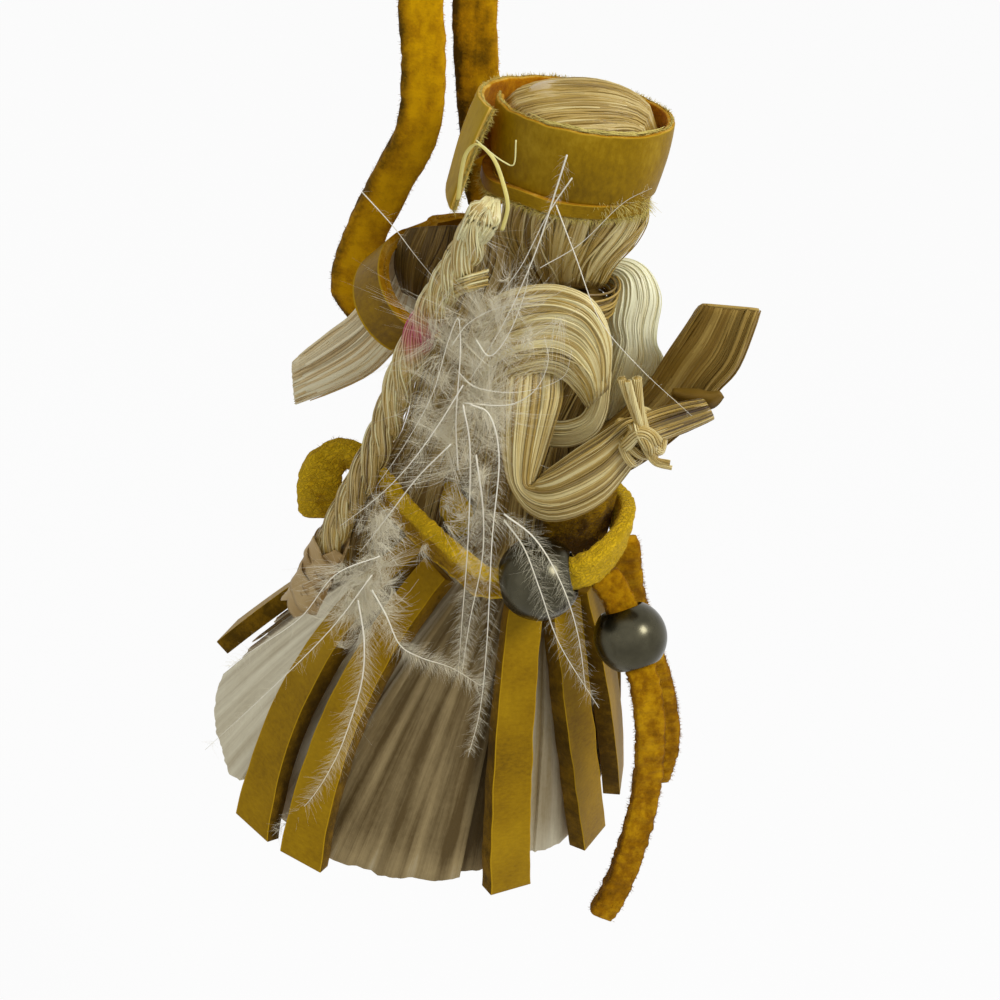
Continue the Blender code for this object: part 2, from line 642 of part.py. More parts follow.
def build_sleeve(material, parent):
    """The leather strip rolled into a sleeve, its end running on behind the neck."""
    axis = Vector(SLEEVE_AXIS_SHARES).normalized()
    up = (Vector((0, 0, 1)) - axis.z * axis).normalized()
    right = up.cross(axis)
    if right.x < 0:
        right = -right
    middle = waist_middle() + REACH * Vector(SLEEVE_PLACE_SHARES)
    strap = smooth_route(body_route(STRAP_ROUTE_SHARES, REACH), 2)
    centres = []
    across = []
    for i, place in enumerate(strap):
        blend = (i / len(strap)) ** 2
        centres.append(place)
        across.append(Vector(STRAP_DOWN_SHARES) * (1 - blend) + axis * blend)
    steps = 18
    spread = SLEEVE_RADIUS + SLEEVE_THICKNESS / 2
    for i in range(steps + 1):
        turn = math.radians(SLEEVE_START_ANGLE + (SLEEVE_END_ANGLE - SLEEVE_START_ANGLE) * i / steps)
        place = middle + right * spread * math.cos(turn) + up * spread * math.sin(turn)
        centres.append(place + axis * SLEEVE_WIDTH / 2)
        across.append(axis)
    strip("leather_sleeve", centres, across, SLEEVE_WIDTH, SLEEVE_THICKNESS, material, parent)


def placed(route):
    """A cord's route in the doll's frame, from places counted from the waist's middle."""
    return [waist_middle() + Vector(place) for place in route]


def hang_point():
    """Top of the hanging loop in the doll's own frame, which becomes the world's origin."""
    top, _ = route_frame(LOOP_ROUTE, LOOP_TOP_SHARE)
    return top + Vector((0, 0, LOOP_LACE_THICKNESS / 2))


def build_laces(material, loop_material, parent):
    """The hanging loop, the belt, its knot and the two tails."""
    loop = smooth_route(placed(LOOP_ROUTE), 2)
    strip("hanging_loop", loop, [Vector(LOOP_FACE)] * len(loop), LOOP_LACE_WIDTH, LOOP_LACE_THICKNESS,
          loop_material, parent)
    belt = smooth_route(placed(BELT_ROUTE), 2)
    upright = Vector((0, 0, 1))
    wishes = [curve_point(BELT_END_DIRECTIONS, min(1.0, i / BELT_TWISTED_STEPS)) for i in range(len(belt))]
    strip("belt_lace", belt, wishes, LACE_WIDTH, LACE_THICKNESS, material, parent)
    knot = smooth_route(placed(KNOT_ROUTE), 2)
    strip("belt_knot", knot, [upright] * len(knot), KNOT_WIDTH, LACE_THICKNESS, material, parent)
    for name, route in (("tail_lace_front", FRONT_TAIL_ROUTE), ("tail_lace_back", BACK_TAIL_ROUTE)):
        line = smooth_route(placed(route), 3)
        strip(name, line, [Vector(TAIL_FACE)] * len(line), LACE_WIDTH, LACE_THICKNESS, material, parent)


def build_bead(name, diameter, centre, axis, material, parent):
    """A round bead, turned with its bore, whose origin is its own centre."""
    radius = diameter / 2
    bore = math.hypot(LACE_WIDTH / 2, LACE_THICKNESS / 2) + BEAD_BORE_CLEARANCE
    mouth = math.asin(bore / radius)
    rows = 9
    profile = []
    for i in range(rows):
        turn = mouth + (math.pi - 2 * mouth) * i / (rows - 1)
        profile.append((radius * math.sin(turn), radius * math.cos(turn)))
    profile.append((bore, -radius * math.cos(mouth) / 2))
    profile.append((bore, radius * math.cos(mouth) / 2))
    points = []
    for k in range(BEAD_SEGMENTS):
        turn = math.tau * k / BEAD_SEGMENTS
        for r, z in profile:
            points.append(Vector((r * math.cos(turn), r * math.sin(turn), z)))
    made = add_object(name, points, tube_faces(BEAD_SEGMENTS, len(profile), closed=True), material, parent)
    facing = Vector((0, 0, 1)).rotation_difference(axis)
    made.matrix_local = Matrix.Translation(centre) @ facing.to_matrix().to_4x4()


def route_frame(route, share):
    """Place and direction of a cord's route at the point that lies a share of the way along it."""
    line = placed(route)
    station = round(share * (len(line) - 1))
    return line[station], (line[station + 1] - line[station - 1]).normalized()


def build_braid(material, binding_material, thread_material, parent):
    """The twisted husk cord, the wrapping round its lower end and the loose yellow thread."""
    cord("husk_braid", placed(BRAID_ROUTE), BRAID_DIAMETER, 1, material, parent)
    line = smooth_route(placed(BRAID_ROUTE), 4)
    length = 0.0
    stations = [line[-1]]
    for place in reversed(line[:-1]):
        length += (place - stations[-1]).length
        stations.append(place)
        if length > BINDING_LENGTH:
            break
    sides = 12
    inner = (BRAID_DIAMETER / 2 + GAP) / math.cos(math.pi / sides)
    outer = inner + BINDING_THICKNESS
    points = []
    directions = tangents(stations)
    order = [(i, outer) for i in range(len(stations))] + [(i, inner) for i in range(len(stations) - 1, -1, -1)]
    for i, radius in order:
        ahead = directions[i]
        u = (Vector((1, 0, 0)) - ahead.x * ahead).normalized()
        v = ahead.cross(u)
        for k in range(sides):
            turn = math.tau * k / sides
            points.append(stations[i] + u * radius * math.cos(turn) + v * radius * math.sin(turn))
    add_object("braid_binding", points, tube_faces(len(order), sides, closed=True), binding_material, parent)
    cord("yellow_thread", placed(THREAD_ROUTE), THREAD_DIAMETER, 3, thread_material, parent)


def build_feathers(material, parent):
    """Three plumes, each a thin blade that widens and then narrows."""
    for number, (shares, width) in enumerate(zip(FEATHER_ROUTE_SHARES, FEATHER_WIDTHS)):
        line = smooth_route(body_route(shares, FEATHER_REACH), 2)
        last = len(line) - 1
        swell = [math.sin(math.pi * (i + 0.5) / (last + 1)) for i in range(last + 1)]
        widths = [width * (FEATHER_END_WIDTH_SHARE + (1 - FEATHER_END_WIDTH_SHARE) * share) for share in swell]
        thicknesses = [FEATHER_THICKNESS] * (last + 1)
        bundle(f"feather_{number + 1}", line, widths, thicknesses, Vector((1, 0, 0)), material, parent, sides=8)


def main():
    """Build the whole doll."""
    clear_scene()
    frame = bpy.data.objects.new("doll_frame", None)
    bpy.context.scene.collection.objects.link(frame)
    frame.location = -hang_point()
    fibre = make_material("straw_fibre", (0.52, 0.41, 0.17), 0.45)
    husk = make_material("corn_husk", (0.35, 0.27, 0.15), 0.7)
    brown_husk = make_material("brown_husk", (0.26, 0.18, 0.05), 0.7)
    leather = make_material("smooth_leather", (0.24, 0.15, 0.006), 0.6)
    suede = make_material("golden_suede", (0.42, 0.21, 0.006), 0.95)
    metal = make_material("gunmetal", (0.12, 0.12, 0.11), 0.2, 1.0)
    down = make_material("white_down", (0.75, 0.70, 0.62), 0.9)
    thread = make_material("yellow_thread", (0.75, 0.62, 0.2), 0.6)

    build_skirt_core(husk, frame)
    for number in range(LEAF_COUNT):
        build_leaf(number, husk, frame)
    build_strips(leather, frame)
    build_torso(fibre, frame)
    build_head(fibre, frame)
    build_headband(leather, frame)
    build_near_shoulder(fibre, frame)
    build_far_shoulder(fibre, frame)
    build_inner_curl(fibre, frame)
    arm_line, arm_sizes = build_near_arm(fibre, frame)
    build_far_arm(brown_husk, frame)
    build_wrist_tie(arm_line, arm_sizes, fibre, frame)
    build_back_bundle(husk, frame)
    build_sleeve(leather, frame)
    build_laces(suede, suede, frame)
    belt_place, belt_axis = route_frame(BELT_ROUTE, BELT_BEAD_PLACE_SHARE)
    build_bead("belt_bead", BELT_BEAD_DIAMETER, belt_place, belt_axis, metal, frame)
    tail_place, tail_axis = route_frame(FRONT_TAIL_ROUTE, TAIL_BEAD_PLACE_SHARE)
    build_bead("tail_bead", TAIL_BEAD_DIAMETER, tail_place, tail_axis, metal, frame)
    build_braid(fibre, husk, thread, frame)
    build_feathers(down, frame)
    bpy.context.view_layer.update()


if __name__ == "__main__":
    main()
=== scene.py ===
"""Looks of a hanging corn husk doll: fibre, husk, leather, suede laces, beads, braid and feathers.

Every piece is built in the doll's own frame, in metres, with the middle of the hem at its origin
and the front towards -Y. It is then moved down, so that the world's origin is the hanging point.
"""

import logging
import math
import random
from dataclasses import dataclass, field
from enum import Enum
from typing import Callable, Sequence

import bpy
import numpy as np
from mathutils import Matrix, Vector, noise


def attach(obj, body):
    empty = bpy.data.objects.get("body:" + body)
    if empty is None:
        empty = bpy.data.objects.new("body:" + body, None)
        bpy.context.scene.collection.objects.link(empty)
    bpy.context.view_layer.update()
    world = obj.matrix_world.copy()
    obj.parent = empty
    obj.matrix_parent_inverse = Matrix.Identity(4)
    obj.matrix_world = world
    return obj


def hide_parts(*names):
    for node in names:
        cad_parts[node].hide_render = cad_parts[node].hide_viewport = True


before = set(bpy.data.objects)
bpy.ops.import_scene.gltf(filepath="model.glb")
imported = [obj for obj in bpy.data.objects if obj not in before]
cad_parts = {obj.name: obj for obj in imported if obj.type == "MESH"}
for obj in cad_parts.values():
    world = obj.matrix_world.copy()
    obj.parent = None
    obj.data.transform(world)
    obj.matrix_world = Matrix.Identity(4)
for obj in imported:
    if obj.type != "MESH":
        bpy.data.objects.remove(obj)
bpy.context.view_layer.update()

log = logging.getLogger("doll")
MM = 0.001
HANG_POINT = Vector((-0.0129, 0.0092, 0.1118))
PHOTO_SIZE = 1000.0

TINY = 1e-12
GOLDEN_SHARE = 0.618034

Point = tuple[float, float, float]
Pixel = tuple[float, float]
Colour = tuple[float, float, float]
Station = tuple[float, float, float, float, float, float]
Frame = tuple[Vector, Vector]
Piece = bpy.types.Object
Socket = bpy.types.NodeSocket


class Slot(Enum):
    """Material slots of the record."""

    FIBRE = "straw_fibre"
    HUSK = "corn_husk"
    BROWN_HUSK = "brown_husk"
    LEATHER = "smooth_leather"
    SUEDE = "golden_suede"
    METAL = "gunmetal"
    DOWN = "white_down"
    THREAD = "yellow_thread"


class Body(Enum):
    """Bodies that the pieces ride on."""

    DOLL = "doll"
    BELT_BEAD = "belt_bead"
    TAIL_BEAD = "tail_bead"


def tint(red: float, green: float, blue: float) -> Colour:
    """A colour from its 0 to 255 values, as a colour picker gives them."""
    return tuple(
        c / 12.92 if c <= 0.04045 else ((c + 0.055) / 1.055) ** 2.4
        for c in (red / 255, green / 255, blue / 255)
    )


# Camera


@dataclass(frozen=True)
class Viewpoint:
    """The camera that the photograph was taken with, as fitted to the doll."""

    target: Point = (0.0, 0.0, 0.040)
    distance: float = 0.1635
    elevation: float = math.radians(34.4)
    roll: float = math.radians(13.9)
    focal_pixels: float = 1652.0
    target_pixel: Pixel = (481.5, 439.4)
    sensor: float = 36.0

    def axes(self) -> tuple[Vector, Vector, Vector]:
        """Right, up and backward directions of the rolled camera."""
        back = Vector((0.0, -math.cos(self.elevation), math.sin(self.elevation)))
        level = Vector((1.0, 0.0, 0.0))
        upright = back.cross(level)
        right = level * math.cos(self.roll) + upright * math.sin(self.roll)
        up = upright * math.cos(self.roll) - level * math.sin(self.roll)
        return right, up, back

    def place(self) -> Vector:
        """Where the camera stands, in the doll's frame."""
        return Vector(self.target) + self.axes()[2] * self.distance

    def spot(self, across: float, down: float, depth: float) -> Vector:
        """The doll-frame point seen at a pixel.

        Args:
            across: Pixels from the picture's left edge.
            down: Pixels from its top edge.
            depth: The point's Y, in millimetres.

        Returns:
            The point, in metres.
        """
        right, up, back = self.axes()
        ray = right * (across - self.target_pixel[0]) / self.focal_pixels
        ray -= up * (down - self.target_pixel[1]) / self.focal_pixels
        ray -= back
        start = self.place()
        return start + ray * ((depth * MM - start.y) / ray.y)

    def make_camera(self) -> Piece:
        """Add the camera to the scene and look through it."""
        data = bpy.data.cameras.new("camera")
        data.sensor_width = self.sensor
        data.lens = self.sensor * self.focal_pixels / PHOTO_SIZE
        half = PHOTO_SIZE / 2
        data.shift_x = (half - self.target_pixel[0]) / PHOTO_SIZE
        data.shift_y = (self.target_pixel[1] - half) / PHOTO_SIZE
        data.clip_start = 0.01
        data.clip_end = 10.0
        camera = bpy.data.objects.new("camera", data)
        bpy.context.scene.collection.objects.link(camera)
        right, up, back = self.axes()
        turned = Matrix((right, up, back)).transposed().to_4x4()
        camera.matrix_world = Matrix.Translation(self.place() - HANG_POINT) @ turned
        bpy.context.scene.camera = camera
        return camera


VIEW = Viewpoint()


# Finishes


# Where the colour mix node keeps its sockets.
MIX_SHARE, MIX_FIRST, MIX_SECOND, MIX_RESULT = 0, 6, 7, 2


class Recipe:
    """The node graph of one material while it is put together."""

    def __init__(self, name: str) -> None:
        """Start a material with an empty Principled shader."""
        self.material = bpy.data.materials.new(name)
        self.material.use_nodes = True
        self.tree = self.material.node_tree
        self.shader = self.tree.nodes["Principled BSDF"]

    def add(self, kind: str, **settings: object) -> bpy.types.Node:
        """Add one node and set its plain properties."""
        node = self.tree.nodes.new(kind)
        for key, value in settings.items():
            setattr(node, key, value)
        return node

    def wire(self, source: object, socket: Socket) -> None:
        """Link a socket to another, or set its value."""
        if isinstance(source, Socket):
            self.tree.links.new(source, socket)
        elif hasattr(source, "__len__") and len(source) == 3 and socket.type == "RGBA":
            socket.default_value = (*source, 1.0)
        else:
            socket.default_value = source

    def place(self, scale: Point = (1, 1, 1), flat: bool = False) -> Socket:
        """Coordinates for a pattern.

        Args:
            scale: How much each axis is squeezed.
            flat: True for the piece's own UV map, False for its Object coordinates.

        Returns:
            The mapped vector socket.
        """
        source = self.add("ShaderNodeTexCoord").outputs["UV" if flat else "Object"]
        mapping = self.add("ShaderNodeMapping")
        self.wire(source, mapping.inputs["Vector"])
        mapping.inputs["Scale"].default_value = scale
        return mapping.outputs["Vector"]

    def noise(self, where: object, scale: float, detail: float = 4.0, rough: float = 0.6) -> Socket:
        """Cloudy pattern from 0 to 1."""
        node = self.add("ShaderNodeTexNoise")
        self.wire(where, node.inputs["Vector"])
        node.inputs["Scale"].default_value = scale
        node.inputs["Detail"].default_value = detail
        node.inputs["Roughness"].default_value = rough
        return node.outputs["Fac"]

    def cells(self, where: object, scale: float) -> Socket:
        """Cell pattern: the distance to the nearest crack."""
        node = self.add("ShaderNodeTexVoronoi", feature="DISTANCE_TO_EDGE")
        self.wire(where, node.inputs["Vector"])
        node.inputs["Scale"].default_value = scale
        return node.outputs["Distance"]

    def carried(self, name: str) -> Socket:
        """A value that the mesh carries as an attribute."""
        return self.add("ShaderNodeAttribute", attribute_name=name).outputs["Fac"]

    def span(
        self, value: object, low: float, high: float, to_low: float = 0.0, to_high: float = 1.0
    ) -> Socket:
        """Stretch a span of values to another, clamped."""
        node = self.add("ShaderNodeMapRange", clamp=True)
        for socket, source in zip(node.inputs, (value, low, high, to_low, to_high)):
            self.wire(source, socket)
        return node.outputs["Result"]

    def tone_shift(self) -> Socket:
        """How far the mesh's own tone lies from the middle one."""
        return self.maths("SUBTRACT", self.carried("tone"), 0.5)

    def maths(self, kind: str, first: object, second: object = 0.0) -> Socket:
        """One sum of two values."""
        node = self.add("ShaderNodeMath", operation=kind)
        self.wire(first, node.inputs[0])
        self.wire(second, node.inputs[1])
        return node.outputs[0]

    def total(self, *shares: tuple[object, float]) -> Socket:
        """Sum of values, each times its share."""
        result = None
        for value, share in shares:
            part = self.maths("MULTIPLY", value, share)
            result = part if result is None else self.maths("ADD", result, part)
        return result

    def ramp(self, value: object, stops: Sequence[tuple[float, Colour]]) -> Socket:
        """Colours along a value.

        Args:
            value: The socket that chooses the colour.
            stops: Each colour and where it lies, from low to high.

        Returns:
            The colour socket.
        """
        node = self.add("ShaderNodeValToRGB")
        points = node.color_ramp.elements
        while len(points) < len(stops):
            points.new(0.5)
        for point, (where, colour) in zip(points, stops):
            point.position = where
            point.color = (*colour, 1.0)
        self.wire(value, node.inputs["Fac"])
        return node.outputs["Color"]

    def mix(self, share: object, first: object, second: object, kind: str = "MIX") -> Socket:
        """Blend two colours by a share."""
        node = self.add("ShaderNodeMix", data_type="RGBA", blend_type=kind)
        self.wire(share, node.inputs[MIX_SHARE])
        self.wire(first, node.inputs[MIX_FIRST])
        self.wire(second, node.inputs[MIX_SECOND])
        return node.outputs[MIX_RESULT]

    def bump(self, height: object, strength: float, depth: float) -> None:
        """Raise the surface by a height pattern, depth in metres."""
        node = self.add("ShaderNodeBump")
        node.inputs["Strength"].default_value = strength
        node.inputs["Distance"].default_value = depth
        self.wire(height, node.inputs["Height"])
        self.wire(node.outputs["Normal"], self.shader.inputs["Normal"])

    def finish(self, colour: object, roughness: object, **plain: float) -> bpy.types.Material:
        """Connect the colour and roughness and set the shader's plain values.

        Args:
            colour: Socket or colour.
            roughness: Socket or value.
            plain: Other sockets' plain values, with underscores for spaces.

        Returns:
            The finished material.
        """
        self.wire(colour, self.shader.inputs["Base Color"])
        self.wire(roughness, self.shader.inputs["Roughness"])
        for key, value in plain.items():
            self.shader.inputs[key.replace("_", " ")].default_value = value
        return self.material


@dataclass(frozen=True)
class FibreFinish:
    """Glossy straw fibre, each strand with its own tone."""

    name: str
    shade: Colour
    body: Colour
    light: Colour
    roughness: float = 0.26
    gloss: float = 0.4
    stain: Colour = tint(206, 70, 110)

    def make(self) -> bpy.types.Material:
        """Build the material."""
        r = Recipe(self.name)
        patches = r.noise(r.place(), 300.0, 3.0)
        grain = r.noise(r.place((2.0, 160.0, 1.0), flat=True), 6.0, 3.0)
        level = r.total((r.carried("tone"), 0.7), (patches, 0.22), (grain, 0.16))
        colour = r.ramp(level, [(0.08, self.shade), (0.46, self.body), (0.86, self.light)])
        colour = r.mix(r.carried("stain"), colour, self.stain)
        r.bump(grain, 0.25, 0.00004)
        rough = r.span(grain, 0.2, 0.8, self.roughness - 0.05, self.roughness + 0.15)
        return r.finish(colour, rough, Specular_IOR_Level=self.gloss)


@dataclass(frozen=True)
class HuskFinish:
    """Dry corn husk: soft ribs along the leaf, pale to taupe."""

    name: str
    dark: Colour
    body: Colour
    pale: Colour
    ribs: float = 12.0

    def make(self) -> bpy.types.Material:
        """Build the material."""
        r = Recipe(self.name)
        ribs = r.noise(r.place((self.ribs, 1.1, 1.0), flat=True), 1.0, 4.0, 0.55)
        veins = r.noise(r.place((self.ribs * 12.0, 5.0, 1.0), flat=True), 1.0, 3.0, 0.6)
        patches = r.noise(r.place(), 110.0, 4.0)
        weave = r.noise(r.place((self.ribs * 3.0, 40.0, 1.0), flat=True), 1.0, 3.0, 0.6)
        middle = r.tone_shift()
        level = r.total((ribs, 0.62), (patches, 0.2), (veins, 0.12), (weave, 0.1), (middle, 0.75))
        colour = r.ramp(level, [(0.3, self.dark), (0.54, self.body), (1.0, self.pale)])
        r.bump(r.total((ribs, 1.0), (veins, 0.25), (weave, 0.3)), 0.5, 0.0003)
        return r.finish(colour, r.span(veins, 0.2, 0.8, 0.5, 0.75), Specular_IOR_Level=0.2)


@dataclass(frozen=True)
class LeatherFinish:
    """Smooth dyed leather: faint grain, brushed dye, and lighter edges, partly wear and partly a painted
    highlight along the bevel.
    """

    name: str
    dark: Colour
    body: Colour
    light: Colour
    rim: Colour

    def make(self) -> bpy.types.Material:
        """Build the material."""
        r = Recipe(self.name)
        cloud = r.noise(r.place(), 120.0, 5.0, 0.62)
        brushed = r.noise(r.place((3.0, 40.0, 1.0), flat=True), 2.2, 5.0, 0.7)
        pores = r.noise(r.place(), 2600.0, 3.0, 0.7)
        middle = r.tone_shift()
        colour = r.ramp(
            r.total((cloud, 0.6), (brushed, 0.4), (middle, 0.7)),
            [(0.3, self.dark), (0.5, self.body), (0.72, self.light)],
        )
        fuzz = r.noise(r.place(), 1500.0, 5.0, 0.75)
        # The rim colour along the edges is partly wear and partly a painted highlight along the bevel.
        edge = r.span(r.total((r.carried("rim"), 1.0), (r.maths("SUBTRACT", fuzz, 0.5), 0.6)), 0.45, 0.95)
        colour = r.mix(edge, colour, r.mix(fuzz, self.rim, self.light))
        r.bump(r.total((pores, 1.0), (r.maths("MULTIPLY", fuzz, edge), 1.5), (cloud, 0.6)), 0.4, 0.00006)
        return r.finish(colour, r.span(edge, 0.0, 1.0, 0.5, 0.85), Specular_IOR_Level=0.12)


@dataclass(frozen=True)
class SuedeFinish:
    """Napped split leather: mottled colour, soft fibres, and cracks where it is bent."""

    name: str
    dark: Colour
    body: Colour
    light: Colour
    cracks: float = 0.0

    def make(self) -> bpy.types.Material:
        """Build the material."""
        r = Recipe(self.name)
        smear = r.noise(r.place(), 380.0, 5.0, 0.74)
        nap = r.noise(r.place(), 1500.0, 6.0, 0.8)
        middle = r.tone_shift()
        level = r.total((smear, 0.95), (nap, 0.5), (middle, 1.0))
        colour = r.ramp(level, [(0.4, self.dark), (0.71, self.body), (0.96, self.light)])
        height = nap
        if self.cracks > 0:
            wander = r.noise(r.place(), 700.0, 3.0)
            where = r.mix(0.0032, r.place(), wander, "ADD")
            lines = r.span(r.cells(where, 1900.0), 0.0, 0.22)
            open_share = r.maths("MULTIPLY", r.maths("SUBTRACT", 1.0, lines), self.cracks)
            colour = r.mix(open_share, colour, self.dark)
            height = r.total((nap, 1.0), (lines, 0.8))
        r.bump(height, 0.8, 0.00014)
        return r.finish(colour, 0.92, Specular_IOR_Level=0.08, Sheen_Weight=0.04, Sheen_Roughness=0.5)


@dataclass(frozen=True)
class GunmetalFinish:
    """Polished dark metal with faint haze."""

    name: str
    colour: Colour

    def make(self) -> bpy.types.Material:
        """Build the material."""
        r = Recipe(self.name)
        haze = r.noise(r.place(), 380.0, 4.0, 0.6)
        fine = r.noise(r.place(), 3200.0, 3.0, 0.7)
        colour = r.mix(r.span(haze, 0.3, 0.7), self.colour, tuple(c * 1.7 for c in self.colour))
        r.bump(fine, 0.05, 0.00003)
        return r.finish(colour, r.span(haze, 0.3, 0.7, 0.2, 0.34), Metallic=1.0)


@dataclass(frozen=True)
class DownFinish:
    """White feather: cream where its fibres are fine, whiter along the shafts."""

    name: str
    shaft: Colour
    barb: Colour

    def make(self) -> bpy.types.Material:
        """Build the material."""
        r = Recipe(self.name)
        uneven = r.noise(r.place(), 500.0, 3.0)
        colour = r.mix(r.carried("tone"), self.barb, self.shaft)
        colour = r.mix(r.span(uneven, 0.3, 0.7, 0.0, 0.25), colour, self.barb)
        return r.finish(colour, 0.6, Specular_IOR_Level=0.2)


STRAW = FibreFinish("straw_fibre", tint(74, 50, 6), tint(190, 158, 74), tint(254, 240, 178), gloss=0.55)
# A lit copy of the straw for the far shoulder: painted light.
PAINTED_LIGHT_STRAW = FibreFinish(
    "painted_light_fibre", tint(150, 116, 44), tint(246, 230, 164), tint(255, 253, 216), gloss=0.6
)
BRAID_STRAW = FibreFinish("braid_fibre", tint(72, 46, 8), tint(206, 176, 98), tint(255, 247, 190), 0.2, 0.7)
SHADED_STRAW = FibreFinish(
    "shaded_fibre", tint(60, 42, 8), tint(134, 106, 46), tint(206, 180, 112), 0.35, 0.3
)
# The far arm's husk: brown partly of its own and partly as painted shade.
ARM_HUSK = FibreFinish("brown_husk", tint(70, 50, 8), tint(128, 98, 32), tint(184, 154, 80), 0.45, 0.2)
BACK_HUSK = FibreFinish("pale_husk", tint(112, 80, 36), tint(230, 206, 154), tint(255, 246, 210), 0.5, 0.2)
WRAP_HUSK = FibreFinish("wrap_husk", tint(92, 62, 24), tint(178, 146, 94), tint(220, 196, 146), 0.45, 0.2)
SKIRT_HUSK = HuskFinish("skirt_husk", tint(90, 72, 38), tint(160, 140, 98), tint(244, 236, 206))
LEATHER = LeatherFinish(
    "smooth_leather", tint(106, 76, 0), tint(150, 114, 0), tint(178, 140, 8), tint(192, 150, 26)
)
FLESH_SIDE = SuedeFinish("flesh_side", tint(86, 54, 0), tint(142, 96, 0), tint(190, 138, 12))
# Side walls of the skirt strips: cut leather, darkened partly as painted shade.
SHADED_CUT_EDGE = SuedeFinish("cut_edge_painted_shade", tint(58, 40, 0), tint(92, 66, 0), tint(136, 100, 8))
BAND_LEATHER = LeatherFinish(
    "band_leather", tint(108, 80, 0), tint(150, 116, 2), tint(184, 150, 32), tint(206, 166, 50)
)
BAND_FLESH = SuedeFinish("band_flesh_side", tint(104, 58, 0), tint(178, 108, 0), tint(222, 154, 12))
BAND_FRAY = SuedeFinish("band_fray", tint(122, 98, 12), tint(190, 166, 56), tint(230, 212, 124))
BAND_CUT = SuedeFinish("band_cut_edge", tint(126, 82, 0), tint(190, 136, 12), tint(228, 188, 84))
SUEDE = SuedeFinish("golden_suede", tint(84, 60, 0), tint(180, 128, 0), tint(218, 164, 0))
BELT_SUEDE = SuedeFinish("cracked_suede", tint(82, 54, 0), tint(182, 138, 6), tint(230, 188, 30), 0.28)
TAIL_SUEDE = SuedeFinish("worn_suede", tint(84, 52, 0), tint(154, 104, 0), tint(204, 152, 10))
GUNMETAL = GunmetalFinish("gunmetal", tint(66, 63, 50))
DOWN = DownFinish("white_down", tint(253, 248, 230), tint(244, 234, 200))
THREAD = FibreFinish(
    "yellow_strand", tint(190, 170, 70), tint(228, 212, 116), tint(250, 242, 170), 0.45, 0.25
)

_made: dict[str, bpy.types.Material] = {}


def material_of(finish: object) -> bpy.types.Material:
    """The finish's material, made once."""
    if finish.name not in _made:
        _made[finish.name] = finish.make()
    return _made[finish.name]


# Bench tools


def deselect() -> None:
    """Leave nothing selected, so that an operator acts on the new piece only."""
    if bpy.context.mode != "OBJECT":
        bpy.ops.object.mode_set(mode="OBJECT")
    bpy.ops.object.select_all(action="DESELECT")


def take(piece: Piece) -> None:
    """Select one piece and make it the active one."""
    deselect()
    piece.select_set(True)
    bpy.context.view_layer.objects.active = piece


def modify(piece: Piece, kind: str, **settings: object) -> None:
    """Add a modifier and apply it."""
    take(piece)
    modifier = piece.modifiers.new(kind.lower(), kind)
    for key, value in settings.items():
        setattr(modifier, key, value)
    bpy.ops.object.modifier_apply(modifier=modifier.name)


def carry(piece: Piece, name: str, values: Sequence[float]) -> None:
    """Store one value for each point of a mesh."""
    layer = piece.data.attributes.new(name, "FLOAT", "POINT")
    layer.data.foreach_set("value", np.asarray(values, dtype=np.float32))


def dress(piece: Piece, *finishes: object) -> None:
    """Fill a piece's material slots with the finishes, in order."""
    piece.data.materials.clear()
    for finish in finishes:
        piece.data.materials.append(material_of(finish))


def hand_over(
    piece: Piece, finish: object, slot: Slot, nodes: Sequence[str] = (), body: Body = Body.DOLL
) -> Piece:
    """Dress a built piece and give it to its body.

    Args:
        piece: The piece, built in the doll's frame.
        finish: Its finish, or None for a piece that is already dressed.
        slot: The record's material slot; not used.
        nodes: The CAD nodes that it stands for.
        body: The body that it rides on.

    Returns:
        The piece.
    """
    piece.data.transform(Matrix.Translation(-HANG_POINT))
    if finish:
        dress(piece, finish)
    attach(piece, body.value)
    if nodes:
        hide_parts(*nodes)
    log.info("%s: %d faces", piece.name, len(piece.data.polygons))
    return piece


def on_curve(route: Sequence[Sequence[float]], where: float) -> Vector:
    """Point of the smooth curve through a route, where 0 is its start and 1 its end."""
    last = len(route) - 1
    first = max(0, min(int(where * last), last - 1))
    t = where * last - first
    p1, p2 = Vector(route[first]), Vector(route[first + 1])
    p0 = Vector(route[first - 1]) if first > 0 else 2 * p1 - p2
    p3 = Vector(route[first + 2]) if first + 2 <= last else 2 * p2 - p1
    square = (2 * p0 - 5 * p1 + 4 * p2 - p3) * t**2
    cube = (3 * p1 - p0 - 3 * p2 + p3) * t**3
    return 0.5 * (2 * p1 + (p2 - p0) * t + square + cube)


def value_on(values: Sequence[float], where: float) -> float:
    """Value of the smooth curve through a row of values, at a share of its length."""
    return on_curve([(0.0, 0.0, value) for value in values], min(1.0, max(0.0, where))).z


def smooth(route: Sequence[Sequence[float]], steps: int) -> list[Vector]:
    """Points along the smooth curve through a route, the same number in each of its spans."""
    count = (len(route) - 1) * steps
    return [on_curve(route, i / count) for i in range(count + 1)]


def seen(points: Sequence[Point]) -> list[Vector]:
    """Doll-frame points of pixels with their depths in millimetres."""
    return [VIEW.spot(*point) for point in points]


def ease(value: float) -> float:
    """A smooth step from 0 to 1."""
    value = min(1.0, max(0.0, value))
    return value * value * (3 - 2 * value)


def scatter(pick: random.Random, deep: float = 1.0) -> Vector:
    """A random direction, with its depth drawn on a scale of its own."""
    return Vector((pick.gauss(0, 1), pick.gauss(0, deep), pick.gauss(0, 1))).normalized()


def unit(rows: np.ndarray, least: float = 0.0) -> np.ndarray:
    """Rows made one long, with a least length added for rows that may have none."""
    return rows / (np.linalg.norm(rows, axis=-1, keepdims=True) + least)


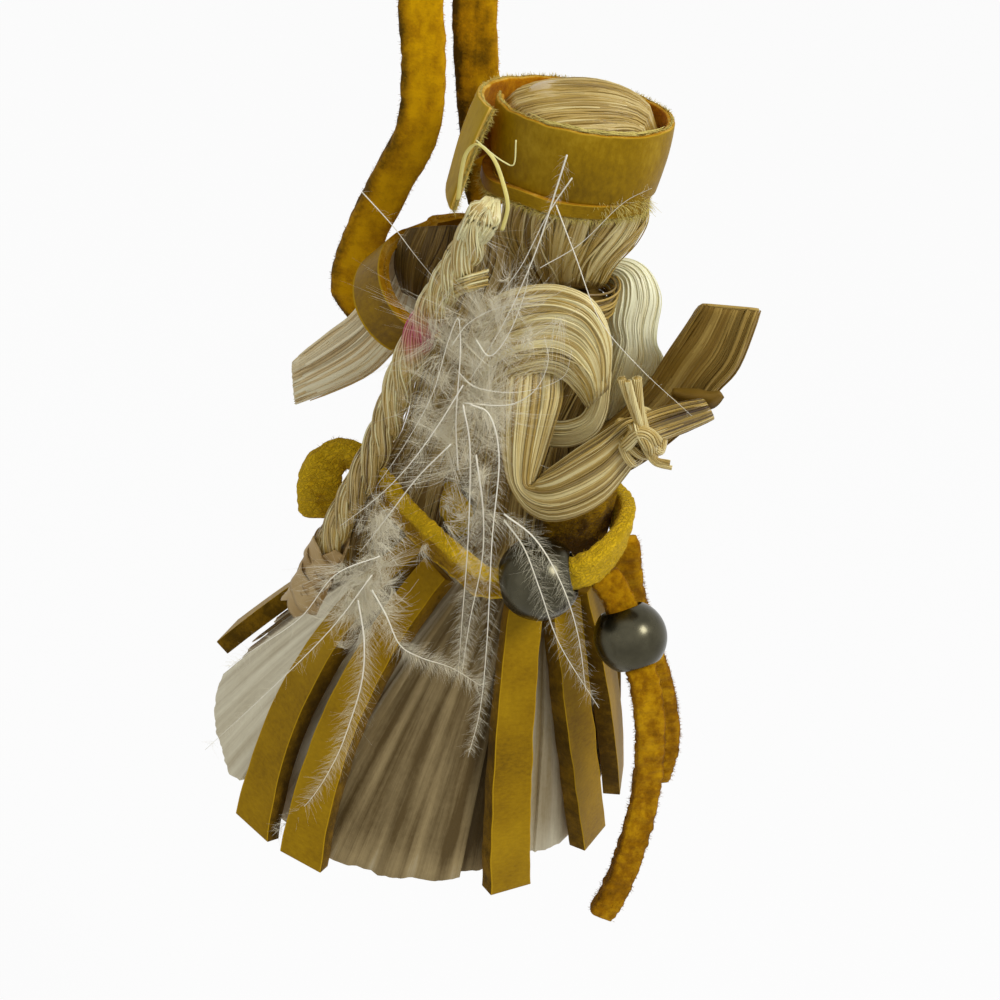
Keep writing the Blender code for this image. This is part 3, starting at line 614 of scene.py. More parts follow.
def sweep(paths: np.ndarray, wish: np.ndarray, sides: int, flatness: float = 1.0) -> np.ndarray:
    """Rings of radius 1 that stand square to paths.

    Args:
        paths: Points of one path, or of many with the same number of points.
        wish: Direction of the rings' width.
        sides: How many points each ring has.
        flatness: Thickness over width.

    Returns:
        The rings' points, counted from their middles.
    """
    ahead = unit(np.gradient(paths, axis=-2), TINY)
    u = unit(wish - (wish * ahead).sum(axis=-1, keepdims=True) * ahead, TINY)
    v = np.cross(ahead, u)
    turn = np.arange(sides) * math.tau / sides
    return u[..., None, :] * np.cos(turn)[:, None] + v[..., None, :] * np.sin(turn)[:, None] * flatness


def wall(rings: int, sides: int) -> np.ndarray:
    """The four-sided faces between the rings of a tube, by the numbers of their points."""
    ring = np.arange(rings - 1)[:, None] * sides
    here = ring + np.arange(sides)[None, :]
    there = ring + (np.arange(sides)[None, :] + 1) % sides
    return np.stack([here, there, there + sides, here + sides], axis=-1).reshape(-1, 4)


def each(value: object, count: int) -> np.ndarray:
    """One value, or one for each of a row, as a row."""
    return np.broadcast_to(np.asarray(value, dtype=np.float64), (count,))


class Hank:
    """Many thin closed strands gathered into one mesh."""

    def __init__(self, name: str, sides: int = 3) -> None:
        """Start an empty hank whose strands have so many sides."""
        self.name = name
        self.sides = sides
        self.points: list[np.ndarray] = []
        self.faces: list[np.ndarray] = []
        self.caps: list[list[int]] = []
        self.tones: list[np.ndarray] = []
        self.stains: list[np.ndarray] = []
        self.flat: list[np.ndarray] = []
        self.count = 0

    def tube(
        self, points: np.ndarray, rings: int, sides: int, tone: object, stain: object, flat: np.ndarray
    ) -> None:
        """Add one closed tube.

        Args:
            points: Its points, ring after ring.
            rings: How many rings it has.
            sides: How many points each ring has.
            tone: How light it is, one value or one for each point.
            stain: How stained it is, one value or one for each point.
            flat: Its UV places, one for each point.
        """
        start = self.count
        self.points.append(points.reshape(-1, 3))
        self.faces.append(wall(rings, sides) + start)
        self.caps.append(list(range(start + sides - 1, start - 1, -1)))
        self.caps.append(list(range(start + (rings - 1) * sides, start + rings * sides)))
        self.tones.append(each(tone, rings * sides))
        self.stains.append(each(stain, rings * sides))
        self.flat.append(flat)
        self.count += rings * sides

    def strand(
        self,
        line: Sequence[Vector],
        radius: float | Sequence[float],
        tone: float | Sequence[float] = 0.5,
        across: Sequence[float] = (0.31, 0.17, 0.93),
        flatness: float = 1.0,
        stain: Sequence[float] | float = 0.0,
        sides: int = 0,
    ) -> None:
        """Add one strand.

        Args:
            line: The points that it follows.
            radius: Half its width, one value or one for each point.
            tone: How light it is, from 0 to 1, one value or one for each point.
            across: Direction of its width.
            flatness: Thickness over width.
            stain: How stained it is, one value or one for each point.
            sides: Faces round it, or 0 for the hank's own.
        """
        sides = sides or self.sides
        path = np.array([tuple(p) for p in line], dtype=np.float64)
        count = len(path)
        ring = sweep(path, np.asarray(across, dtype=np.float64), sides, flatness)
        length = np.concatenate([[0.0], np.cumsum(np.linalg.norm(np.diff(path, axis=0), axis=1))])
        tones = np.repeat(each(tone, count), sides)
        around = np.tile(np.arange(sides) / sides, count) + tones[0] * 7.0
        flat = np.stack([np.repeat(length, sides) * 100.0, around * 0.05], axis=-1)
        stains = np.repeat(each(stain, count), sides)
        points = path[:, None, :] + ring * each(radius, count)[:, None, None]
        self.tube(points, count, sides, tones, stains, flat)

    def hairs(self, paths: np.ndarray, radii: Sequence[float], tones: np.ndarray) -> None:
        """Add many three-sided hairs at once.

        Args:
            paths: Their points, hair by hair, in an array of hairs by points by three.
            radii: Half the width at each point of a hair.
            tones: How light each hair is.
        """
        hairs, count = paths.shape[:2]
        ring = sweep(paths, np.array((0.37, 0.21, 0.9)), 3)
        points = paths[:, :, None, :] + ring * np.asarray(radii)[None, :, None, None]
        starts = np.arange(hairs) * count * 3 + self.count
        self.points.append(points.reshape(-1, 3))
        self.faces.append((wall(count, 3)[None, :, :] + starts[:, None, None]).reshape(-1, 4))
        tip = (count - 1) * 3
        for start in starts.tolist():
            self.caps.append([start + 2, start + 1, start])
            self.caps.append([start + tip, start + tip + 1, start + tip + 2])
        self.tones.append(np.repeat(tones, count * 3))
        self.stains.append(np.zeros(hairs * count * 3))
        self.flat.append(np.zeros((hairs * count * 3, 2)))
        self.count += hairs * count * 3

    def make(self) -> Piece:
        """Make the mesh object, smooth shaded, with its tones."""
        points = np.concatenate(self.points)
        faces = np.concatenate(self.faces).tolist() + self.caps
        mesh = bpy.data.meshes.new(self.name)
        mesh.from_pydata(points.tolist(), [], faces)
        layer = mesh.uv_layers.new(name="along")
        corner = np.empty(len(mesh.loops), dtype=np.int32)
        mesh.loops.foreach_get("vertex_index", corner)
        layer.data.foreach_set("uv", np.concatenate(self.flat)[corner].astype(np.float32).ravel())
        piece = bpy.data.objects.new(self.name, mesh)
        bpy.context.scene.collection.objects.link(piece)
        carry(piece, "tone", np.concatenate(self.tones))
        carry(piece, "stain", np.concatenate(self.stains))
        mesh.shade_smooth()
        return piece


def lay_nap(hank: Hank, lines: Sequence[Frame], count: int, length: float, pick: random.Random) -> None:
    """Add short loose fibres that stand out of a surface.

    Args:
        hank: The hank that takes them.
        lines: Places along an edge, each with the direction away from the surface.
        count: How many fibres.
        length: The longest, in metres.
        pick: Source of the random choices.
    """
    paths = []
    for _ in range(count):
        i = pick.randrange(len(lines) - 1)
        share = pick.random()
        root = lines[i][0].lerp(lines[i + 1][0], share)
        out = lines[i][1].normalized()
        lean = scatter(pick)
        reach = length * pick.uniform(0.3, 1.0)
        root = root - out * length * 0.1
        middle = root + (out * 0.6 + lean * 0.3) * reach
        paths.append([root, middle, root + (out * 0.9 + lean * 0.75) * reach])
    shades = np.array([pick.uniform(0.45, 1.0) for _ in range(count)])
    hank.hairs(np.array(paths), (0.000022, 0.000018, 0.000008), shades)


@dataclass
class Ring:
    """One oval section of a fibre bundle."""

    centre: Vector
    half: Vector
    deep: Vector


@dataclass
class Bundle:
    """Fibres that lie side by side over an oval body, gathered in locks, from section to section."""

    name: str
    rings: list[Ring]
    strands: int = 180
    radius: float = 0.00012
    twist: float = 0.0
    seed: int = 1
    steps: int = 5
    fray: float = 0.0
    flatness: float = 0.5
    loose: float = 0.04
    tones: tuple[float, float] = (0.2, 0.95)
    core_share: float = 0.95
    square: float = 2.0
    lock: int = 7
    fade: Callable[[float], float] | None = None

    @classmethod
    def from_photo(cls, name: str, stations: Sequence[Station], **settings: object) -> "Bundle":
        """A bundle whose two sides are seen in the photograph.

        Args:
            name: Its name.
            stations: One side's pixel, the other's, the middle's depth and the thickness, in millimetres.
            settings: The other fields.

        Returns:
            The bundle.
        """
        back = VIEW.axes()[2]
        rings = []
        for station in stations:
            depth, thickness = station[4:]
            a, b = VIEW.spot(*station[:2], depth), VIEW.spot(*station[2:4], depth)
            rings.append(Ring((a + b) / 2, (b - a) / 2, back * thickness * MM / 2))
        return cls(name, rings, **settings)

    def section(self, where: float) -> Ring:
        """The smooth section at a share of the length."""
        return Ring(
            on_curve([r.centre for r in self.rings], where),
            on_curve([r.half for r in self.rings], where),
            on_curve([r.deep for r in self.rings], where),
        )

    def point(self, ring: Ring, turn: float, reach: float) -> Vector:
        """A point of a section, at a turn round it and a share of its radius."""
        c, s = math.cos(turn), math.sin(turn)
        shape = (abs(c) ** self.square + abs(s) ** self.square) ** (-1 / self.square)
        return ring.centre + (ring.half * c + ring.deep * s) * reach * shape

    def lay(self, hank: Hank) -> None:
        """Add the body and its strands to a hank, lock by lock."""
        count = (len(self.rings) - 1) * self.steps
        sections = [self.section(i / count) for i in range(count + 1)]
        self.core(hank, sections[: -2] if self.fray > 0.05 else sections)
        pick = random.Random(self.seed)
        number = 0
        while number < self.strands:
            size = max(2, round(self.lock * pick.uniform(0.5, 1.5)))
            middle_tone = pick.uniform(*self.tones)
            lift = pick.uniform(0.0, 0.035)
            wave, phase = pick.uniform(0.4, 1.4), pick.uniform(0, math.tau)
            bow = self.loose * pick.uniform(0.3, 1.0)
            for k in range(size):
                inside = (k + 0.5) / size * 2 - 1
                start = math.tau * (number + k) / self.strands
                proud = lift + 0.02 * (1 - inside * inside)
                self.one(hank, sections, pick, start, middle_tone, proud, (wave, phase, bow))
            number += size
        for _ in range(self.strands // 14):
            sway = (pick.uniform(0.3, 1.2), pick.uniform(0, math.tau), self.loose * pick.uniform(1.5, 4.0))
            start, tone = pick.uniform(0, math.tau), pick.uniform(*self.tones)
            self.one(hank, sections, pick, start, tone, pick.uniform(0.05, 0.13), sway)

    def one(
        self, hank: Hank, sections: Sequence[Ring], pick: random.Random, start: float, tone: float,
        lift: float, sway: tuple[float, float, float],
    ) -> None:
        """Add one strand of a lock.

        Args:
            hank: The hank that takes it.
            sections: The bundle's sections.
            pick: Source of the random choices.
            start: Its turn round the bundle at the first section.
            tone: How light its lock is.
            lift: How far it stands proud, as a share of the section's radius.
            sway: How often its lock swings, from which phase and how far.
        """
        count = len(sections) - 1
        wave, phase, bow = sway
        own = pick.uniform(0, math.tau)
        ends = 1 + pick.uniform(-self.fray, 0.0) * (pick.random() < 0.7)
        line = []
        for i, ring in enumerate(sections):
            share = i / count
            if share > ends and len(line) > 2:
                break
            turn = start + self.twist * share + bow * math.sin(wave * math.tau * share + phase)
            turn += 0.008 * math.sin(own + 7 * share)
            line.append(self.point(ring, turn, 0.97 + lift + 0.01 * math.sin(own + 9 * share)))
        radii = [self.radius * pick.uniform(0.75, 1.2)] * len(line)
        radii[0] *= 0.5
        radii[-1] *= 0.5
        outward = np.array([tuple(p - ring.centre) for p, ring in zip(line, sections)])
        ahead = np.gradient(np.array([tuple(p) for p in line]), axis=0)
        shade = min(1.0, max(0.0, tone + pick.gauss(0, 0.09)))
        shades = [shade + (self.fade(i / count) if self.fade else 0.0) for i in range(len(line))]
        hank.strand(line, radii, shades, np.cross(ahead, outward) + 1e-9, self.flatness)

    def core(self, hank: Hank, sections: Sequence[Ring]) -> None:
        """Add the closed body that the strands lie on."""
        sides = 24
        points = []
        for ring in sections:
            for k in range(sides):
                points.append(tuple(self.point(ring, math.tau * k / sides, self.core_share)))
        flat = np.tile(np.arange(sides) / sides, len(sections))[:, None] * np.array([[0.2, 0.6]])
        # The body is darker than its strands: painted shade in the gaps between them, and a stop against
        # seeing through.
        hank.tube(np.array(points), len(sections), sides, (self.tones[0] + self.tones[1]) * 0.28, 0.0, flat)

    def make(self) -> Piece:
        """Make the bundle as one piece."""
        hank = Hank(self.name, 4)
        self.lay(hank)
        return hank.make()


@dataclass
class Strap:
    """A strip of leather or husk, cut flat and then bent to its place."""

    name: str
    place: Callable[[float, float], Vector]
    columns: int
    rows: int
    thickness: float
    edge: float
    tone: Callable[[float, float], float]
    finishes: Sequence[object]
    offset: float = 0.0
    rim_width: float = 0.03

    def make(self) -> Piece:
        """Cut the strip from a flat grid, bend it, thicken it and round its edges."""
        deselect()
        bpy.ops.mesh.primitive_grid_add(x_subdivisions=self.columns, y_subdivisions=self.rows, size=1)
        piece = bpy.context.active_object
        piece.name = self.name
        piece.data.name = self.name
        flat = [(v.co.x + 0.5, v.co.y + 0.5) for v in piece.data.vertices]
        for vertex, (u, v) in zip(piece.data.vertices, flat):
            vertex.co = self.place(u, v)
        carry(piece, "tone", [self.tone(u, v) for u, v in flat])
        carry(piece, "rim", [1.0 if min(u, 1 - u) < self.rim_width else 0.0 for u, v in flat])
        dress(piece, *self.finishes)
        parts = len(self.finishes) > 1
        modify(
            piece, "SOLIDIFY", thickness=self.thickness, offset=self.offset, use_even_offset=True,
            material_offset=1 if parts else 0, material_offset_rim=2 if parts else 0,
        )
        sharp = math.radians(50)
        modify(piece, "BEVEL", width=self.edge, segments=2, limit_method="ANGLE", angle_limit=sharp)
        take(piece)
        bpy.ops.object.shade_smooth_by_angle(angle=sharp)
        return piece


def frames(line: Sequence[Vector], wishes: Sequence[Vector]) -> list[Frame]:
    """Width and face directions of a lace at each point of its line."""
    found = []
    last = len(line) - 1
    for i, wish in enumerate(wishes):
        ahead = (line[min(i + 1, last)] - line[max(i - 1, 0)]).normalized()
        u = (wish - wish.dot(ahead) * ahead).normalized()
        found.append((u, ahead.cross(u)))
    return found


# Laces and cords


WAIST = Vector((0.0053, -0.0019, 0.0290))


def from_waist(places: Sequence[tuple[int, int, int]]) -> list[Vector]:
    """Doll-frame points of places that are counted from the waist's middle, in tenths of a millimetre."""
    return [WAIST + Vector([part / 10000 for part in place]) for place in places]


LOOP_ROUTE = from_waist((
    (-181, 127, 148), (-204, 125, 164), (-219, 117, 190), (-215, 107, 242), (-195, 93, 326),
    (-179, 81, 390), (-186, 81, 455), (-200, 87, 510), (-206, 85, 570), (-205, 75, 670), (-199, 79, 762),
    (-194, 91, 800), (-182, 111, 818), (-170, 132, 800), (-164, 143, 762), (-158, 141, 670),
    (-156, 123, 580), (-153, 111, 510), (-141, 109, 456), (-130, 114, 410), (-117, 123, 360),
    (-105, 129, 310),
))
BELT_ROUTE = from_waist((
    (-193, -15, -2), (-199, -19, 33), (-197, -17, 59), (-182, -9, 73), (-159, -12, 71), (-135, -31, 62),
    (-109, -54, 55), (-80, -73, 48), (-43, -92, 39), (-15, -107, 38), (31, -109, 59), (71, -104, 79),
    (91, -79, 90), (99, -41, 96), (89, 1, 86), (62, 45, 66), (23, 69, 53), (-23, 67, 47), (-59, 37, 47),
    (-69, -5, 47), (-49, -41, 50),
))
BELT_BEAD_STATION = 10
BELT_DIRECTIONS = (
    (-1, -0.1, 0.0), (-1, -0.1, 0.1), (-1, -0.2, 0.5), (-0.5, -0.3, 1.0), (0, -0.3, 1), (0, -0.35, 1),
    (0, -0.4, 1), (0, -0.4, 1), (0, -0.4, 1), (0, -0.2, 1), (0, 0, 1),
)
KNOT_ROUTE = from_waist((
    (25, -46, 96), (41, -50, 98), (56, -48, 102), (69, -41, 108), (81, -28, 110),
))
FRONT_TAIL_ROUTE = from_waist((
    (92, -75, 55), (111, -82, 38), (132, -101, 10), (153, -121, -18), (170, -132, -56), (182, -138, -100),
    (190, -147, -148), (192, -162, -196), (189, -177, -245), (181, -191, -280),
))
TAIL_BEAD_STATION = 2
BACK_TAIL_ROUTE = from_waist((
    (105, -35, 71), (128, -31, 7), (155, -27, -47), (180, -23, -92), (201, -21, -137), (216, -23, -182),
    (221, -27, -235),
))
BRAID_ROUTE = from_waist((
    (-93, -87, 413), (-99, -86, 391), (-104, -81, 365), (-112, -74, 334), (-122, -67, 297),
    (-130, -60, 257), (-137, -53, 213), (-142, -52, 163), (-149, -52, 114), (-160, -53, 64),
    (-172, -54, 10), (-182, -53, -45), (-192, -49, -92),
))
THREAD_ROUTE = from_waist((
    (-120, -83, 410), (-122, -87, 436), (-121, -91, 457), (-113, -94, 468), (-98, -97, 460),
    (-86, -101, 443), (-78, -104, 425), (-78, -102, 402),
))


def loop_tone(along: float, a: float, b: float) -> float:
    """The loop's lace: golden, with painted shade on its narrow left side and a little on one broad face;
    darker along its right-hand strand, bar that strand's right edge.
    """
    side = 0.3 + 0.36 * ease((a + 0.95) / 0.6) - 0.1 * (b > 0.6)
    return side - 0.1 * ease((along - 0.55) * 12) * (a < 0.8)


def tail_tone(along: float, a: float, b: float) -> float:
    """The tails: worn face, darker sides."""
    return 0.5 - 0.14 * (abs(a) > 0.9) + 0.1 * (1 - along)


def belt_tone(along: float, a: float, b: float) -> float:
    """The belt: even at its free end, bright all round right of the bead, and between them painted light on
    its narrow edges and painted shade on its broad face.
    """
    left = 0.84 if abs(a) > 0.8 and b < 0.99 else 0.45
    middle = left + (0.85 - left) * ease((along - 0.47) * 30)
    return 0.72 + (middle - 0.72) * ease((along - 0.16) * 12)


def belt_swell(along: float) -> float:
    """The belt's width: spread at its free end and beside the bead, drawn in where it runs through it."""
    free_end = 0.24 * ease((0.14 - along) * 14)
    left = 0.12 * ease((along - 0.2) * 10) * ease((0.46 - along) * 20)
    right = 0.24 * ease((along - 0.54) * 20) * ease((0.8 - along) * 20)
    bead = 0.17 * math.exp(-(((along - 0.5) / 0.035) ** 2))
    return 1.0 + free_end + left + right - bead


@dataclass
class Lace:
    """A flat suede lace that follows a route, with wrinkles, a soft nap and uneven edges."""

    name: str
    route: Sequence[Vector]
    wishes: Sequence[Vector] | Vector
    tone: Callable[[float, float, float], float]
    width: float = 0.0035
    thickness: float = 0.0018
    steps: int = 12
    sides: int = 30
    roughness: float = 0.00009
    wrinkle: float = 0.0
    narrowing: float = 0.0
    swell: Callable[[float], float] = lambda along: 1.0
    fuzz: int = 900
    mottle: float = 0.08
    seed: int = 3
    line: list[Vector] = field(default_factory=list)

    def section_point(self, turn: float) -> tuple[float, float]:
        """A point of the lace's rounded oblong section, as shares of its half width and thickness."""
        c, s = math.cos(turn), math.sin(turn)
        shape = (abs(c) ** 5 + abs(s) ** 5) ** (-0.2)
        return c * shape, s * shape

    def skin(
        self, along: float, where: float, turn: float, frame_here: tuple[Vector, Vector, Vector]
    ) -> Vector:
        """A point of the lace's surface.

        Args:
            along: Share of the length.
            where: Length from the start, in metres.
            turn: Turn round the section.
            frame_here: The section's middle, width and face directions.

        Returns:
            The point.
        """
        centre, u, v = frame_here
        a, b = self.section_point(turn)
        half = self.width / 2 * (1 - self.narrowing * along) * self.swell(along)
        place = centre + u * a * half + v * b * self.thickness / 2
        out = (u * a + v * b).normalized()
        rough = noise.noise(place * 900) + 0.6 * noise.noise(place * 2300)
        crease = noise.noise(Vector((where * 1500, a * 1.3, self.seed)))
        crease = abs(crease) ** 0.6 * (1 if crease > 0 else -1)
        return place + out * (rough * self.roughness + (crease - 0.35) * self.wrinkle)

    def make(self) -> Piece:
        """Build the lace and its nap."""
        self.line = smooth(self.route, self.steps)
        wishes = self.wishes if isinstance(self.wishes, list) else [self.wishes] * len(self.line)
        turned = frames(self.line, wishes)
        last = len(self.line) - 1
        hank = Hank(self.name)
        points, tones, where = [], [], 0.0
        for i, (centre, (u, v)) in enumerate(zip(self.line, turned)):
            where += (centre - self.line[max(0, i - 1)]).length
            shrink = 0.86 + 0.14 * ease(min(i, last - i) / 3)
            for k in range(self.sides):
                turn = math.tau * k / self.sides
                points.append(tuple(centre.lerp(self.skin(i / last, where, turn, (centre, u, v)), shrink)))
                a, b = self.section_point(turn)
                blotch = noise.noise(Vector((where * 420, a * 1.4, b)))
                blotch += 0.6 * noise.noise(Vector((where * 1300, a * 3.5, b * 2)))
                tones.append(self.tone(i / last, a, b) + self.mottle * blotch)
        hank.tube(np.array(points), last + 1, self.sides, tones, 0.0, np.zeros((len(points), 2)))
        self.nap(hank, turned)
        return hank.make()

    def nap(self, hank: Hank, turned: Sequence[Frame]) -> None:
        """Add the short fibres of the lace's edges and faces."""
        pick = random.Random(self.seed)
        last = len(self.line) - 1
        paths, tones = [], []
        for _ in range(self.fuzz):
            i = pick.randrange(1, last)
            u, v = turned[i]
            turn = pick.choice((0.0, math.pi)) + pick.gauss(0, 0.7)
            a, b = self.section_point(turn)
            half = self.width / 2 * (1 - self.narrowing * i / last)
            root = self.line[i] + u * a * half * 0.97 + v * b * self.thickness / 2 * 0.97
            out = (u * a + v * b).normalized()
            lean = scatter(pick)
            length = pick.uniform(0.08, 0.24) * MM
            middle = root + out * length * 0.6 + lean * length * 0.3
            paths.append([root, middle, root + (out + lean * 0.8) * length])
            tones.append(self.tone(i / last, a, b) + pick.uniform(0.0, 0.25))
        hank.hairs(np.array(paths), (0.00002, 0.000016, 0.000006), np.array(tones))


@dataclass
class Laces:
    """The hanging loop, the belt with its knot, and the two tails."""

    loop_width: float = 0.0040
    loop_thickness: float = 0.0020
    tail_width: float = 0.0031
    knot_width: float = 0.0084

    def cord_length(self, line: Sequence[Vector]) -> float:
        """Length of a lace along its middle."""
        return sum((b - a).length for a, b in zip(line, line[1:]))

    def declare(self, lace: Lace, riders: Sequence[object] = ()) -> None:
        """Work out a lace's path from the hanging point and its length, and keep neither."""
        path = [point - HANG_POINT for point in lace.line]
        tuple(path[0])
        self.cord_length(path)
        list(riders)

    def make(self, tail_bead: Piece) -> None:
        loop = Lace(
            "loop_lace", LOOP_ROUTE, Vector((1, 0.1, 0.05)), loop_tone, self.loop_width, self.loop_thickness,
            steps=14, fuzz=4500, roughness=0.00012, mottle=0.18,
        )
        piece = hand_over(loop.make(), SUEDE, Slot.SUEDE, ["hanging_loop"])
        self.declare(loop)
        for name, node, route, riders, seed in (
            ("front_tail", "tail_lace_front", FRONT_TAIL_ROUTE, [tail_bead], 5),
            ("back_tail", "tail_lace_back", BACK_TAIL_ROUTE, [], 6),
        ):
            tail = Lace(
                name, route, Vector((1, 0.2, 0.1)), tail_tone, self.tail_width, steps=24, seed=seed,
                wrinkle=0.00011, narrowing=0.12, fuzz=2500, mottle=0.16,
            )
            piece = hand_over(tail.make(), TAIL_SUEDE, Slot.SUEDE, [node])
            self.declare(tail, riders)
        self.belt()

    def belt(self) -> None:
        """Build the belt and the end of its knot."""
        steps = 16
        count = (len(BELT_ROUTE) - 1) * steps
        turned = (len(BELT_DIRECTIONS) - 1) * steps
        wishes = [on_curve(BELT_DIRECTIONS, min(1.0, i / turned)) for i in range(count + 1)]
        belt = Lace(
            "belt", BELT_ROUTE, wishes, belt_tone, steps=steps, seed=7, wrinkle=0.00011, swell=belt_swell,
            fuzz=3000,
        )
        hand_over(belt.make(), BELT_SUEDE, Slot.SUEDE, ["belt_lace"])
        route = [point - Vector((0, 0, 0.0007)) for point in KNOT_ROUTE]
        # The knot's end is lighter toward its upper edge and darker toward its lower one: painted light and
        # shade.
        knot = Lace(
            "belt_knot_end", route, Vector((0, 0, 1)), lambda along, a, b: 0.35 + 0.2 * a, self.knot_width,
            steps=20, seed=8, wrinkle=0.0001, fuzz=300,
        )
        hand_over(knot.make(), BELT_SUEDE, Slot.SUEDE, ["belt_knot"])


# Beads


@dataclass
class Bead:
    """A round metal bead with a bore for the lace."""

    name: str
    route: Sequence[Vector]
    station: int
    body: Body
    diameter: float
    bore: float = 0.0020

    def make(self) -> Piece:
        """Turn the bead from a ball, open its bore and round the bore's rims."""
        deselect()
        radius = self.diameter / 2
        bpy.ops.mesh.primitive_uv_sphere_add(segments=64, ring_count=48, radius=radius)
        piece = bpy.context.active_object
        piece.name = self.name
        piece.data.name = self.name
        bpy.ops.object.mode_set(mode="EDIT")
        mouth = math.sqrt(radius**2 - self.bore**2)
        for level in (mouth, -mouth):
            bpy.ops.mesh.select_all(action="SELECT")
            bpy.ops.mesh.bisect(
                plane_co=(0, 0, level), plane_no=(0, 0, 1),
                clear_outer=level > 0, clear_inner=level < 0, use_fill=False,
            )
        bpy.ops.mesh.select_all(action="DESELECT")
        bpy.ops.mesh.select_non_manifold(extend=False)
        bpy.ops.mesh.bridge_edge_loops()
        bpy.ops.mesh.select_all(action="SELECT")
        bpy.ops.mesh.remove_doubles(threshold=1e-7)
        bpy.ops.mesh.normals_make_consistent(inside=False)
        bpy.ops.object.mode_set(mode="OBJECT")
        modify(piece, "BEVEL", width=0.00022, segments=3, limit_method="ANGLE", angle_limit=math.radians(25))
        take(piece)
        bpy.ops.object.shade_smooth_by_angle(angle=math.radians(40))
        ahead = self.route[self.station + 1] - self.route[self.station - 1]
        facing = Vector((0, 0, 1)).rotation_difference(ahead.normalized()).to_matrix().to_4x4()
        piece.data.transform(Matrix.Translation(self.route[self.station]) @ facing)
        return hand_over(piece, GUNMETAL, Slot.METAL, [self.body.value], self.body)


# Skirt


